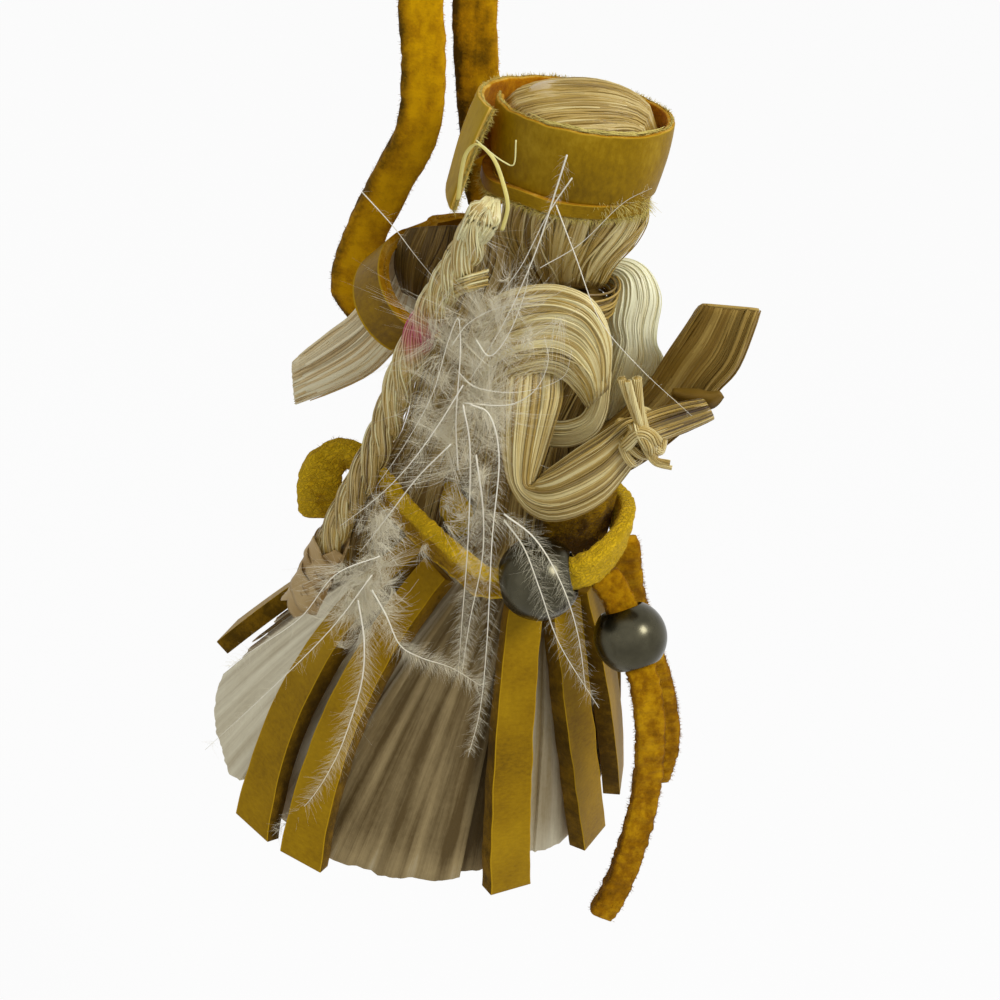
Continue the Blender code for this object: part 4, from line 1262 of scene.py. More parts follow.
@dataclass
class Skirt:
    """The bell of husk leaves, its core and the leather strips over it."""

    height: float = 0.0290
    hem_radius: float = 0.0222
    waist_radius: float = 0.0072
    shift_right: float = 0.0053
    shift_front: float = 0.0019
    flare_shares: tuple[float, ...] = (1.0, 0.79, 0.56, 0.3, 0.0)
    twist: float = math.radians(6.0)
    leaf_count: int = 10
    leaf_span: float = math.radians(47.0)
    leaf_thickness: float = 0.0007
    gap: float = 0.0003
    strip_width: float = 0.0048
    strip_thickness: float = 0.0019
    strip_top_share: float = 0.74
    strip_angles: tuple[tuple[float, float], ...] = (
        (24, 35), (52, 65), (80, 88), (108, 113), (136, 140), (164, 167),
        (192, 194), (220, 236), (248, 253), (292, 327), (320, 342),
    )

    def flare(self, level: float) -> float:
        """Smooth flare share at a height share."""
        return value_on(self.flare_shares, level)

    def spot(self, angle: float, level: float, offset: float) -> Vector:
        """A point of the bell, moved outwards by an offset."""
        radius = self.waist_radius + (self.hem_radius - self.waist_radius) * self.flare(level) + offset
        turned = angle - self.twist * level
        return Vector((
            self.shift_right * level + radius * math.sin(turned),
            -self.shift_front * level - radius * math.cos(turned),
            self.height * level,
        ))

    def shade(self, angle: float, level: float) -> float:
        """Husk tone by compass angle: taupe in front, cream at the left, pale at the right and the hem."""
        degrees = (math.degrees(angle) + 180) % 360 - 180
        left = ease((-14 - degrees) / 18) * ease((degrees + 175) / 30)
        right = ease((degrees - 26) / 18) * ease((175 - degrees) / 30)
        base = 0.3 + 0.68 * left + 0.45 * right
        streak = 0.16 * noise.noise(Vector((angle * 22, level * 1.2, 2.0)))
        return base + streak + 0.18 * ease((0.16 - level) / 0.16) * (1 - left)

    def leaf(self, number: int) -> None:
        """Build one husk leaf, with soft folds that run from the waist to the hem."""
        middle = math.tau * number / self.leaf_count
        layer = number % 2
        shift = number * 2.7

        def place(u: float, v: float) -> Vector:
            """A point of the leaf: u across it, v from hem to waist."""
            angle = middle + self.leaf_span * (u - 0.5)
            folds = noise.noise(Vector((angle * 8 + shift, v * 0.7, number * 3.1)))
            creases = noise.noise(Vector((angle * 26, v * 1.4, number * 5.7)))
            crumple = noise.noise(Vector((angle * 30, v * 16, number * 1.3)))
            strength = 0.3 + 0.7 * self.flare(v)
            hollow = 0.00042 * (folds - 0.6) + 0.0002 * creases + 0.00008 * crumple
            side = min(u, 1 - u)
            tuck = -0.0004 * ease(1 - side / 0.08)
            deep = layer * (self.leaf_thickness + self.gap)
            return self.spot(angle, v, -deep + hollow * strength + tuck * (1 - layer))

        def tone(u: float, v: float) -> float:
            """Tone of the leaf, darker in the inner layer."""
            return self.shade(middle + self.leaf_span * (u - 0.5), v) - 0.1 * layer

        strap = Strap(
            f"leaf_{number + 1:02d}", place, 46, 38, self.leaf_thickness, 0.0001, tone, (SKIRT_HUSK,),
            offset=-1.0,
        )
        hand_over(strap.make(), None, Slot.HUSK, [f"husk_leaf_{number + 1:02d}"])

    def strip(self, number: int) -> None:
        """Build one leather strip, as it hangs from the waist over the skirt."""
        top, hem = self.strip_angles[number]
        lift = self.gap + 0.0001 + self.strip_thickness / 2
        pick = random.Random(70 + number)
        bow = pick.uniform(-0.0002, 0.0002)

        def place(u: float, v: float) -> Vector:
            """A point of the strip: u across it, v from hem to waist."""
            angle = math.radians(hem + (top - hem) * v)
            centre = self.spot(angle, v, lift)
            beside = (self.spot(angle + 0.02, v, lift) - centre).normalized()
            width = self.strip_width * (1 + (self.strip_top_share - 1) * v)
            wobble = 0.00014 * noise.noise(Vector((v * 11, number * 7.7, u)))
            return centre + beside * (width * (u - 0.5) + wobble + bow * math.sin(math.pi * v))

        def tone(u: float, v: float) -> float:
            """Tone of the strip, lighter toward the waist: painted light against the shade that falls there.
            """
            return 0.56 + 0.12 * noise.noise(Vector((v * 3, number * 3.3, 0))) + 0.12 * ease((v - 0.6) / 0.4)

        # The strips' side walls take the dark cut-edge finish, which is partly painted shade.
        finishes = (LEATHER, FLESH_SIDE, SHADED_CUT_EDGE)
        strap = Strap(
            f"strip_{number + 1:02d}", place, 40, 60, self.strip_thickness, 0.0004, tone, finishes,
            rim_width=0.045,
        )
        hand_over(strap.make(), None, Slot.LEATHER, [f"skirt_strip_{number + 1:02d}"])

    def core(self) -> None:
        """Build the core, whose cut husk ends show under the hem."""
        rings = []
        for i in range(9):
            level = i / 8
            radius = self.waist_radius + (self.hem_radius - self.waist_radius) * self.flare(level) - 0.0026
            centre = Vector((self.shift_right * level, -self.shift_front * level, self.height * level))
            rings.append(Ring(centre, Vector((radius, 0, 0)), Vector((0, radius, 0))))
        bundle = Bundle("skirt_inside", rings, 150, 0.0005, seed=21, steps=3, tones=(0.2, 0.7), flatness=0.3)
        hank = Hank(bundle.name, 4)
        bundle.lay(hank)
        pick = random.Random(5)
        for _ in range(420):
            turn, reach = pick.uniform(0, math.tau), math.sqrt(pick.random()) * (self.hem_radius - 0.003)
            foot = Vector((reach * math.sin(turn), reach * math.cos(turn), pick.uniform(-0.0002, 0.0003)))
            head = foot + Vector((-0.2 * foot.x, -0.2 * foot.y, 0.004))
            across = (math.cos(turn + 1.5), math.sin(turn + 1.5), 0)
            hank.strand([foot, foot.lerp(head, 0.5), head], 0.0009, pick.uniform(0.2, 0.9), across, 0.22)
        hand_over(hank.make(), WRAP_HUSK, Slot.HUSK, ["skirt_core"])

    def make(self) -> None:
        """Build the skirt's pieces."""
        self.core()
        for number in range(self.leaf_count):
            self.leaf(number)
        for number in range(len(self.strip_angles)):
            self.strip(number)


# Upper body


@dataclass
class UpperBody:
    """Torso, head, shoulders and arms, all of bundled fibre."""

    torso_height: float = 0.0295
    torso_radius: float = 0.0038
    head_height: float = 0.0192
    dome_radius: float = 0.0068
    dome_height: float = 0.0030

    def neck(self) -> Vector:
        """Top of the torso, where the head starts."""
        return WAIST + self.torso_height * Vector((0.0, 0.05, 1.0)) + Vector((0, 0, 0.0009))

    def torso(self) -> None:
        """Build the upright bundle between the skirt and the head."""
        shares = ((0, 0, 0), (0, 0, 0.15), (-0.045, 0.05, 0.5), (-0.01, 0.05, 0.85), (0, 0.05, 1.0))
        profile = (1.8, 1.4, 1.1, 0.98, 0.98, 0.9, 0.78)
        rings = []
        for i in range(9):
            where = i / 8
            centre = WAIST + self.torso_height * on_curve(shares, where)
            size = value_on(profile, where) * self.torso_radius
            half = size + 0.0005 * math.sin(math.pi * where)
            rings.append(Ring(centre, Vector((half, 0, 0)), Vector((0, size, 0))))
        bundle = Bundle("torso", rings, 210, 0.00015, 0.25, 11, 3, tones=(0.1, 0.8), loose=0.08)
        hand_over(bundle.make(), SHADED_STRAW, Slot.FIBRE, ["torso_bundle"])

    def loose_fibres(self) -> None:
        """Build the shaded fibres that hang beside the torso and over the chest, and a dark block of painted
        shade in the sleeve.
        """
        side = Bundle.from_photo(
            "side_fibres",
            (
                (476, 222, 528, 226, 1.6, 2.4), (470, 262, 532, 268, 0.4, 3.0),
                (450, 300, 528, 306, -0.6, 3.4), (432, 340, 522, 344, -1.0, 3.6),
                (418, 380, 520, 384, -1.2, 3.8), (404, 430, 516, 432, -1.2, 3.6),
                (374, 480, 510, 482, -0.6, 2.8), (348, 530, 512, 532, 0.4, 2.4),
                (340, 576, 512, 578, 0.8, 2.0),
            ),
            strands=400, radius=0.00013, seed=41, tones=(0.35, 1.25), steps=3, twist=0.2, fray=0.2, loose=0.1,
        )
        hand_over(side.make(), SHADED_STRAW, Slot.FIBRE)
        # A dark block of fibres inside the sleeve: painted shade over the husk there.
        sleeve_shade_block = Bundle.from_photo(
            "sleeve_shade_fibres",
            (
                (408, 229, 458, 226, 3.2, 2.0), (397, 246, 452, 258, 3.0, 2.4),
                (395, 268, 440, 288, 3.0, 2.4), (402, 292, 428, 308, 3.0, 2.0),
            ),
            strands=170, seed=43, tones=(0.0, 0.42),
        )
        hand_over(sleeve_shade_block.make(), SHADED_STRAW, Slot.FIBRE)
        chest = Bundle.from_photo(
            "chest_fibres",
            (
                (560, 372, 640, 366, 0.4, 2.4), (566, 395, 642, 390, 0.2, 2.8),
                (568, 420, 632, 416, 0.0, 2.8), (562, 448, 618, 446, -0.4, 2.6),
                (560, 486, 610, 488, 0.2, 2.0),
            ),
            strands=170, radius=0.00013, seed=42, tones=(0.05, 0.8), twist=0.4, loose=0.1,
        )
        hand_over(chest.make(), SHADED_STRAW, Slot.FIBRE)

    def head_line(self) -> list[Vector]:
        """Places along the head's bent axis."""
        shares = ((0, 0, 0), (0, 0, 0.12), (-0.17, -0.06, 0.47), (-0.2, -0.01, 0.9), (-0.205, 0, 0.96))
        return smooth([self.neck() + self.head_height * Vector(s) for s in shares], 4)

    def head(self) -> None:
        """Build the head: fibres that rise from the neck, and others bent over its top."""
        lower = Bundle.from_photo(
            "head",
            (
                (538, 288, 600, 288, -0.8, 5.0), (524, 270, 612, 266, -1.0, 8.0),
                (510, 250, 632, 244, -1.0, 10.5), (502, 230, 643, 222, -1.0, 12.0),
                (504, 205, 642, 200, -1.0, 11.8), (502, 185, 646, 180, -1.0, 11.8),
            ),
            strands=460, radius=0.00012, twist=-0.5, seed=12, steps=4, tones=(0.1, 0.8), loose=0.05,
        )
        hank = Hank("head", 4)
        lower.lay(hank)
        top, up, right, back = BAND.frame()
        rings = []
        for high, size in ((-6.0, 5.9), (-2.0, 6.2), (-0.6, 6.0), (0.6, 5.2), (1.3, 3.6), (1.6, 1.2)):
            rings.append(Ring(top + up * high * MM, right * size * MM, back * size * MM))
        Bundle("", rings, 0, tones=(0.5, 1.0)).lay(hank)
        self.dome(hank, (top, up, right, back))
        self.neck_wrap(hank)
        hand_over(hank.make(), STRAW, Slot.FIBRE, ["head_bundle"])

    def dome(self, hank: Hank, axes: tuple[Vector, Vector, Vector, Vector]) -> None:
        """Add the fibres bent over the head's top, spread at the left and drawn together at the right."""
        top, up, right, back = axes
        pick = random.Random(31)
        radius = self.dome_radius
        tone = 0.6
        for k in range(430):
            if k % 6 == 0:
                tone = pick.uniform(0.15, 0.65)
            fan = math.radians(84) * (2 * (k * GOLDEN_SHARE % 1.0) - 1)
            low = pick.uniform(0.0, 0.0003)
            start = Vector((-math.cos(fan), math.sin(fan)))
            end = Vector((math.cos(fan * 0.4), math.sin(fan * 0.4)))
            sway, phase = pick.uniform(-0.02, 0.02), pick.uniform(0, math.tau)
            bow = math.sin(fan) * 0.35 * (1 - abs(math.sin(fan)) * 0.6) + sway
            line = []
            for i in range(14):
                t = i / 13
                flat = start.lerp(end, t)
                flat.y += bow * math.sin(math.pi * t)
                reach = min(1.0, flat.length)
                flat *= reach / max(flat.length, 1e-6)
                rise = math.sqrt(max(0.0, 1 - reach * reach)) * self.dome_height * (1 + 0.25 * flat.x)
                rise += 0.00008 * math.sin(7 * t + phase) - low
                line.append(top + up * (rise - 0.0011) + (right * flat.x + back * flat.y) * radius)
            size = 0.00011 * pick.uniform(0.7, 1.25)
            hank.strand(line, size, min(1.0, tone + pick.gauss(0, 0.08)), tuple(back), 0.8)

    def neck_wrap(self, hank: Hank) -> None:
        """Add the few fibres wound round the neck."""
        pick = random.Random(32)
        neck = self.neck()
        for k in range(16):
            line = []
            radius = (3.3 + 0.2 * (k % 3)) * MM
            for i in range(36):
                turn = math.tau * 1.1 * i / 35 + k
                high = (k * 0.16 - 1.7) * MM + 0.0005 * math.sin(turn + k)
                line.append(neck + Vector((radius * math.cos(turn), radius * math.sin(turn), high)))
            hank.strand(line, 0.00015, pick.uniform(0.0, 0.5), (0, 0, 1), 0.8)

    def near_shoulder(self) -> None:
        """Build the big curl over the near shoulder."""
        bundle = Bundle.from_photo(
            "near_shoulder",
            (
                (486, 398, 474, 330, -6.4, 3.0), (503, 386, 490, 302, -7.0, 4.4),
                (524, 377, 520, 289, -7.4, 5.0), (546, 372, 555, 286, -7.4, 5.2),
                (563, 377, 586, 297, -7.4, 5.2), (575, 388, 603, 318, -7.4, 4.8),
                (583, 398, 611, 348, -7.2, 4.0), (588, 408, 609, 388, -7.0, 3.2),
            ),
            strands=500, radius=0.0001, seed=13, steps=4, fray=0.06, tones=(0.4, 1.0),
        )
        hand_over(bundle.make(), STRAW, Slot.FIBRE, ["near_shoulder_curl"])

    def far_shoulder(self) -> None:
        """Build the curl over the far shoulder, which runs down the chest."""
        bundle = Bundle.from_photo(
            "far_shoulder",
            (
                (588, 288, 596, 266, 3.2, 2.4), (601, 284, 624, 259, 3.0, 3.2),
                (609, 290, 647, 270, 2.4, 3.6), (608, 304, 659, 297, 1.4, 3.6),
                (608, 322, 655, 327, 0.6, 3.4), (614, 340, 655, 344, 0.0, 3.0),
                (610, 358, 662, 362, -0.4, 3.0), (606, 380, 652, 385, -0.6, 3.0),
                (604, 400, 636, 406, -0.8, 2.8), (600, 425, 620, 432, -1.0, 2.4),
            ),
            # Its lit finish and high tones are painted light; its tone falls toward its lower end down the
            # chest.
            strands=370, radius=0.0001, seed=14, steps=4, tones=(0.75, 1.25), twist=0.8,
            fade=lambda share: -0.5 * ease((share - 0.5) * 3),
        )
        hand_over(bundle.make(), PAINTED_LIGHT_STRAW, Slot.FIBRE, ["far_shoulder_curl"])

    def inner_curl(self) -> None:
        """Build the thin bundle that bends under the near curl."""
        bundle = Bundle.from_photo(
            "inner_curl_fibre",
            (
                (592, 372, 611, 372, -6.6, 2.0), (591, 390, 609, 394, -6.6, 2.0),
                (588, 405, 606, 414, -6.4, 2.0), (580, 416, 596, 434, -6.2, 2.0),
                (565, 421, 573, 446, -6.0, 2.0), (550, 421, 549, 446, -5.8, 1.9),
                (538, 421, 535, 444, -5.4, 1.6),
            ),
            strands=200, radius=0.0001, seed=15, tones=(0.3, 1.0),
        )
        hand_over(bundle.make(), STRAW, Slot.FIBRE, ["inner_curl"])

    def near_arm(self) -> None:
        """Build the near arm, bent at the elbow and drawn in at the wrist."""
        bundle = Bundle.from_photo(
            "near_arm_fibre",
            (
                (505, 368, 560, 374, -7.0, 2.2), (501, 392, 560, 398, -8.0, 3.0),
                (501, 420, 553, 425, -8.8, 3.2), (503, 450, 542, 462, -9.6, 3.2),
                (509, 482, 535, 484, -10.2, 3.0), (524, 507, 541, 476, -10.8, 3.2),
                (547, 519, 556, 466, -11.2, 3.6), (575, 515, 578, 451, -11.2, 4.0),
                (603, 500, 600, 437, -11.0, 4.0), (622, 479, 614, 427, -10.6, 3.4),
                (638, 458, 625, 420, -10.0, 2.9), (650, 445, 637, 417, -9.6, 2.6),
                (671, 437, 655, 410, -8.9, 2.6), (694, 428, 680, 403, -8.4, 2.6),
                (714, 419, 703, 399, -8.0, 2.6),
            ),
            strands=420, radius=0.00011, seed=16, fray=0.13, tones=(0.05, 0.85), steps=3,
            fade=lambda share: 0.12 * ease((0.4 - share) * 6) - 0.25 * ease((share - 0.8) * 12),
        )
        hand_over(bundle.make(), STRAW, Slot.FIBRE, ["near_arm"])

    def far_arm(self) -> None:
        """Build the far arm, a flat bundle with a square cut end."""
        bundle = Bundle.from_photo(
            "far_arm_husk",
            (
                (585, 440, 625, 470, -3.4, 2.8), (618, 415, 652, 452, -3.5, 2.9),
                (648, 385, 690, 420, -3.6, 3.0), (668, 355, 715, 390, -3.6, 3.1),
                (685, 330, 736, 365, -3.5, 3.2), (700, 306, 757, 311, -3.4, 3.2),
            ),
            strands=150, radius=0.00026, seed=17, tones=(0.35, 0.75), flatness=0.45, square=5.0,
            loose=0.03, lock=3,
        )
        hank = Hank(bundle.name, 4)
        bundle.lay(hank)
        for share, size in ((1.0, 0.00016), (0.994, 0.0001)):
            end = bundle.section(share)
            rim = [bundle.point(end, math.tau * i / 40, 0.99) for i in range(41)]
            hank.strand(rim, size, 1.0, (0, 0, 1))
        flap = smooth(seen(((672, 392, -6.4), (690, 398, -7.0), (708, 400, -7.4), (722, 394, -7.5))), 6)
        widths = [0.0004 + 0.0007 * math.sin(math.pi * i / 18) for i in range(19)]
        hank.strand(flap, widths, 0.35, (0, 0, 1), 0.25)
        hand_over(hank.make(), ARM_HUSK, Slot.BROWN_HUSK, ["far_arm"])

    def back_bundle(self) -> None:
        """Build the husk bundle that lies in the sleeve."""
        bundle = Bundle.from_photo(
            "back_husk",
            (
                (392, 246, 424, 286, 4.0, 3.0), (378, 275, 415, 322, 4.9, 3.3),
                (355, 312, 393, 349, 5.6, 3.4), (328, 334, 362, 376, 6.3, 3.4),
                (293, 362, 296, 404, 7.0, 3.4),
            ),
            strands=150, radius=0.00024, seed=18, tones=(0.2, 1.45), flatness=0.5, square=2.8,
            loose=0.03, lock=3, fray=0.04,
        )
        hand_over(bundle.make(), BACK_HUSK, Slot.HUSK, ["back_bundle"])

    def rope(
        self, hank: Hank, line: Sequence[Vector], radius: float, tone: float, pick: random.Random
    ) -> None:
        """Add a strand of the tie: a core with fine fibres laid over it."""
        last = len(line) - 1
        # The core is half the strand's tone: painted shade in the gaps between the fibres laid over it.
        hank.strand(line, radius * 0.86, tone * 0.5)
        turned = frames(line, [Vector((0.3, -1.0, 0.4))] * len(line))
        for k in range(12):
            fibre, start = [], math.tau * k / 12
            for i, (centre, (u, v)) in enumerate(zip(line, turned)):
                turn = start + 2.2 * i / last
                fibre.append(centre + (u * math.cos(turn) + v * math.sin(turn)) * radius * 0.9)
            hank.strand(fibre, radius * 0.22, min(1.0, tone + pick.gauss(0, 0.16)), sides=4)

    def wrist_tie(self) -> None:
        """Build the strand tied round the near wrist, its ends sticking up."""
        hank = Hank("wrist_strand", 8)
        pick = random.Random(19)
        a, b = VIEW.spot(634, 452, -10.0), VIEW.spot(640, 420, -9.9)
        centre = VIEW.spot(641, 437, -10.0)
        axis = (VIEW.spot(662, 425, -9.5) - centre).normalized()
        side = (a - b).normalized()
        side = (side - side.dot(axis) * axis).normalized()
        deep = axis.cross(side)
        for k in range(6):
            line = []
            lean = 0.0006 * (k - 2.5) * 0.8
            for i in range(30):
                turn = math.tau * i / 29 + k
                radius = (2.1 + 0.2 * math.sin(3 * turn + k)) * MM
                cross = 0.0006 * math.sin(turn + k * 1.3)
                around = side * math.cos(turn) * 0.95 + deep * math.sin(turn) * 0.85
                line.append(centre + around * radius + axis * (lean + cross))
            self.rope(hank, line, 0.00036, pick.uniform(0.35, 0.7), pick)
        for route, size in (
            (((642, 432, -12.2), (634, 412, -12.4), (627, 394, -12.6), (621, 378, -12.6)), 0.00034),
            (((643, 430, -12.3), (636, 410, -12.6), (631, 393, -12.8), (628, 381, -12.8)), 0.00028),
            (((645, 432, -12.0), (640, 412, -12.0), (638, 394, -12.0), (637, 378, -12.0)), 0.00040),
            (((626, 446, -12.2), (636, 434, -12.7), (648, 434, -12.7), (657, 442, -12.2)), 0.00055),
            (((634, 424, -12.2), (640, 434, -12.8), (648, 444, -12.7), (652, 450, -12.2)), 0.00048),
            (((640, 440, -12.2), (650, 450, -12.2), (656, 460, -12.0), (670, 463, -12.0)), 0.00026),
            (((640, 441, -12.1), (648, 455, -12.2), (656, 464, -12.1), (672, 468, -12.2)), 0.00020),
        ):
            self.rope(hank, smooth(seen(route), 6), size, pick.uniform(0.4, 0.75), pick)
        hand_over(hank.make(), STRAW, Slot.FIBRE, ["wrist_tie"])

    def make(self) -> None:
        """Build the upper body's pieces."""
        self.torso()
        self.loose_fibres()
        self.head()
        self.near_shoulder()
        self.far_shoulder()
        self.inner_curl()
        self.near_arm()
        self.far_arm()
        self.back_bundle()
        self.wrist_tie()


# Leather round the head, and the sleeve


@dataclass
class Headband:
    """A leather strip wound round the head, its outer end flared."""

    height: float = 0.0062
    thickness: float = 0.0012
    rim_thickness: float = 0.0007
    clearance: float = 0.0004
    start: float = math.radians(-88)
    end: float = math.radians(306)
    flare: float = 0.0024
    flare_start: float = 0.72
    drop: float = 0.0028
    taper: float = 0.0005
    head_radius: float = 0.0062

    def frame(self) -> tuple[Vector, Vector, Vector, Vector]:
        """Middle of the band's top edge, and its up, right and back directions."""
        neck = UpperBody().neck()
        low = neck + 0.0192 * Vector((-0.17, -0.06, 0.47))
        top = neck + 0.0192 * Vector((-0.2, -0.01, 0.9))
        up = (top - low).normalized()
        right = (Vector((1, 0, 0)) - up.x * up).normalized()
        return top, up, right, up.cross(right)

    def outward(self, turn: float) -> Vector:
        """Direction away from the head at a turn round it."""
        right, back = self.frame()[2:]
        return right * math.sin(turn) - back * math.cos(turn)

    def turn(self, v: float) -> float:
        """Turn round the head at a share of the strip's length."""
        return self.start + (self.end - self.start) * v

    def place(self, u: float, v: float) -> Vector:
        """A point of the wound strip: u from rim to foot, v along it."""
        top, up = self.frame()[:2]
        turn = self.turn(v)
        spread = v * (self.end - self.start) / math.tau * (self.thickness + 0.00048)
        flare = max(0.0, (v - self.flare_start) / (1 - self.flare_start)) ** 1.5
        outward = self.outward(turn)
        reach = self.head_radius + self.clearance + 0.0001 + self.rim_thickness / 2
        rim = top + outward * (reach + spread)
        lean = self.flare * flare - self.taper * (1 - flare)
        foot = rim - up * (self.height + self.drop * flare) + outward * lean
        wave = 0.00012 * noise.noise(Vector((turn * 2.2, u * 1.5, 4.0)))
        edge = 0.00014 * noise.noise(Vector((turn * 5.0, u * 2.0, 8.0)))
        return rim.lerp(foot, u) + outward * (wave + 0.0002 * math.sin(math.pi * u)) + up * edge

    def tone(self, u: float, v: float) -> float:
        """The band's face: darker below, worn pale toward its flared end."""
        worn = ease((v - 0.84) * 8)
        return 0.52 - 0.14 * u + 0.3 * worn + 0.12 * noise.noise(Vector((v * 14, u, 0)))

    def lower_place(self, u: float, v: float) -> Vector:
        """A point of the narrow turn under the band."""
        top, up = self.frame()[:2]
        drop = self.height + 0.0006
        line = UpperBody().head_line()
        middle = min(line, key=lambda p: abs((top - p).dot(up) - drop))
        middle = middle + up * ((top - middle).dot(up) - drop)
        turn = math.tau * 0.995 * v + math.pi
        ripple = 0.00025 * noise.noise(Vector((turn * 1.8, 0, 7)))
        reach = self.head_radius + 0.0009 + ripple
        return middle + self.outward(turn) * reach - up * (0.0012 * (u - 0.5) + ripple)

    def nap(self) -> None:
        """Add the frayed fibres of the rim, the lower turn and the flared end."""
        up = self.frame()[1]
        pick = random.Random(61)
        hank = Hank("band_nap", 3)
        count = 90
        rim, foot, under = [], [], []
        for i in range(count):
            v = i / (count - 1)
            outward = self.outward(self.turn(v))
            rim.append((self.place(0.0, v), up + outward * 0.5))
            foot.append((self.place(1.0, v), outward - up * 0.6))
            turn = math.tau * 0.995 * v + math.pi
            under.append((self.lower_place(1.0, v), self.outward(turn) - up * 0.6))
        end = [(self.place(i / 20, 1.0), self.outward(self.turn(1.0) + 1.4)) for i in range(21)]
        lay_nap(hank, rim, 2000, 0.00032, pick)
        lay_nap(hank, foot, 950, 0.0003, pick)
        lay_nap(hank, under, 3900, 0.0008, pick)
        lay_nap(hank, end, 750, 0.0007, pick)
        for _ in range(46):
            first = pick.uniform(0.13, 0.3)
            last = first + pick.uniform(0.05, 0.14)
            lift, away = pick.uniform(0.0, 0.25) * MM, pick.uniform(-0.4, 0.1) * MM
            line = []
            for i in range(13):
                v = first + (last - first) * i / 12
                wave = 0.0001 * math.sin(i * 0.9 + lift * 9e4)
                outward = self.outward(self.turn(v))
                line.append(self.place(0.0, v) + up * (lift + wave) + outward * (away + wave))
            hank.strand(line, 0.00004, pick.uniform(0.75, 1.0))
        for _ in range(260):
            v = pick.uniform(0.28, 0.40)
            root, away = self.place(1.0, v), self.outward(self.turn(v))
            lean = scatter(pick, 0.5)
            tip = root + (away * 0.5 + lean * 0.8 - up * 0.4) * pick.uniform(0.5, 1.5) * MM
            hank.strand([root, root.lerp(tip, 0.5) + lean * 0.0002, tip], [0.00003, 0.00002, 0.00001], 0.9)
        hand_over(hank.make(), BAND_FRAY, Slot.LEATHER)

    def make(self) -> None:
        """Build the band, its lower turn and their frayed edges."""
        finishes = (BAND_LEATHER, BAND_FLESH, BAND_CUT)
        strap = Strap(
            "band", self.place, 24, 150, self.rim_thickness, 0.00016, self.tone, finishes, rim_width=0.02
        )
        hand_over(strap.make(), None, Slot.LEATHER, ["headband"])
        strap = Strap(
            "band_under_turn", self.lower_place, 8, 140, self.thickness * 0.8, 0.0002, lambda u, v: 0.4,
            finishes, rim_width=0.1,
        )
        hand_over(strap.make(), None, Slot.LEATHER, ["headband_lower_turn"])
        self.nap()


BAND = Headband()


@dataclass
class Sleeve:
    """The leather strip that runs behind the neck and rolls round the back bundle."""

    radius: float = 0.0046
    width: float = 0.0052
    thickness: float = 0.0011
    reach: float = 0.0300

    def line(self) -> tuple[list[Vector], list[Vector]]:
        """The strip's middle line and its width directions."""
        axis = Vector((-0.44, 0.4, -0.8)).normalized()
        up = (Vector((0, 0, 1)) - axis.z * axis).normalized()
        right = up.cross(axis)
        if right.x < 0:
            right = -right
        middle = WAIST + self.reach * Vector((-0.45, 0.13, 0.862))
        shares = (
            (0.01, 0.228, 0.92), (-0.12, 0.262, 0.93), (-0.21, 0.3, 0.93),
            (-0.304, 0.337, 0.925), (-0.414, 0.35, 0.915), (-0.515, 0.325, 0.9),
        )
        strap = smooth([WAIST + self.reach * Vector(s) for s in shares], 2)
        centres, across = [], []
        for i, place in enumerate(strap):
            blend = (i / len(strap)) ** 2
            centres.append(place)
            across.append(Vector((0.15, -0.35, -0.92)) * (1 - blend) + axis * blend)
        spread = self.radius + self.thickness / 2
        for i in range(19):
            turn = math.radians(88 + 230 * i / 18)
            place = middle + right * spread * math.cos(turn) + up * spread * math.sin(turn)
            centres.append(place + axis * self.width / 2)
            across.append(axis)
        return centres, across

    def make(self) -> None:
        """Build the strip and the frayed fibres of its edges."""
        centres, across = self.line()

        def place(u: float, v: float) -> Vector:
            """A point of the strip: u across it, v along it."""
            centre = on_curve(centres, v)
            ahead = (on_curve(centres, min(1, v + 0.01)) - on_curve(centres, max(0, v - 0.01))).normalized()
            wish = on_curve(across, v)
            side = (wish - wish.dot(ahead) * ahead).normalized()
            return centre + side * self.width * (u - 0.5)

        strap = Strap(
            "sleeve", place, 24, 130, self.thickness, 0.00016,
            lambda u, v: 0.42 + 0.1 * noise.noise(Vector((v * 11, u, 3))),
            (LEATHER, FLESH_SIDE, BAND_CUT), rim_width=0.05,
        )
        hand_over(strap.make(), None, Slot.LEATHER, ["leather_sleeve"])
        hank = Hank("sleeve_nap", 3)
        pick = random.Random(62)
        for u, way in ((0.0, -1.0), (1.0, 1.0)):
            side = [(place(u, i / 60), (place(1.0, i / 60) - place(0.0, i / 60)) * way) for i in range(61)]
            lay_nap(hank, side, 700, 0.0004, pick)
        hand_over(hank.make(), BAND_CUT, Slot.LEATHER)


# Braid


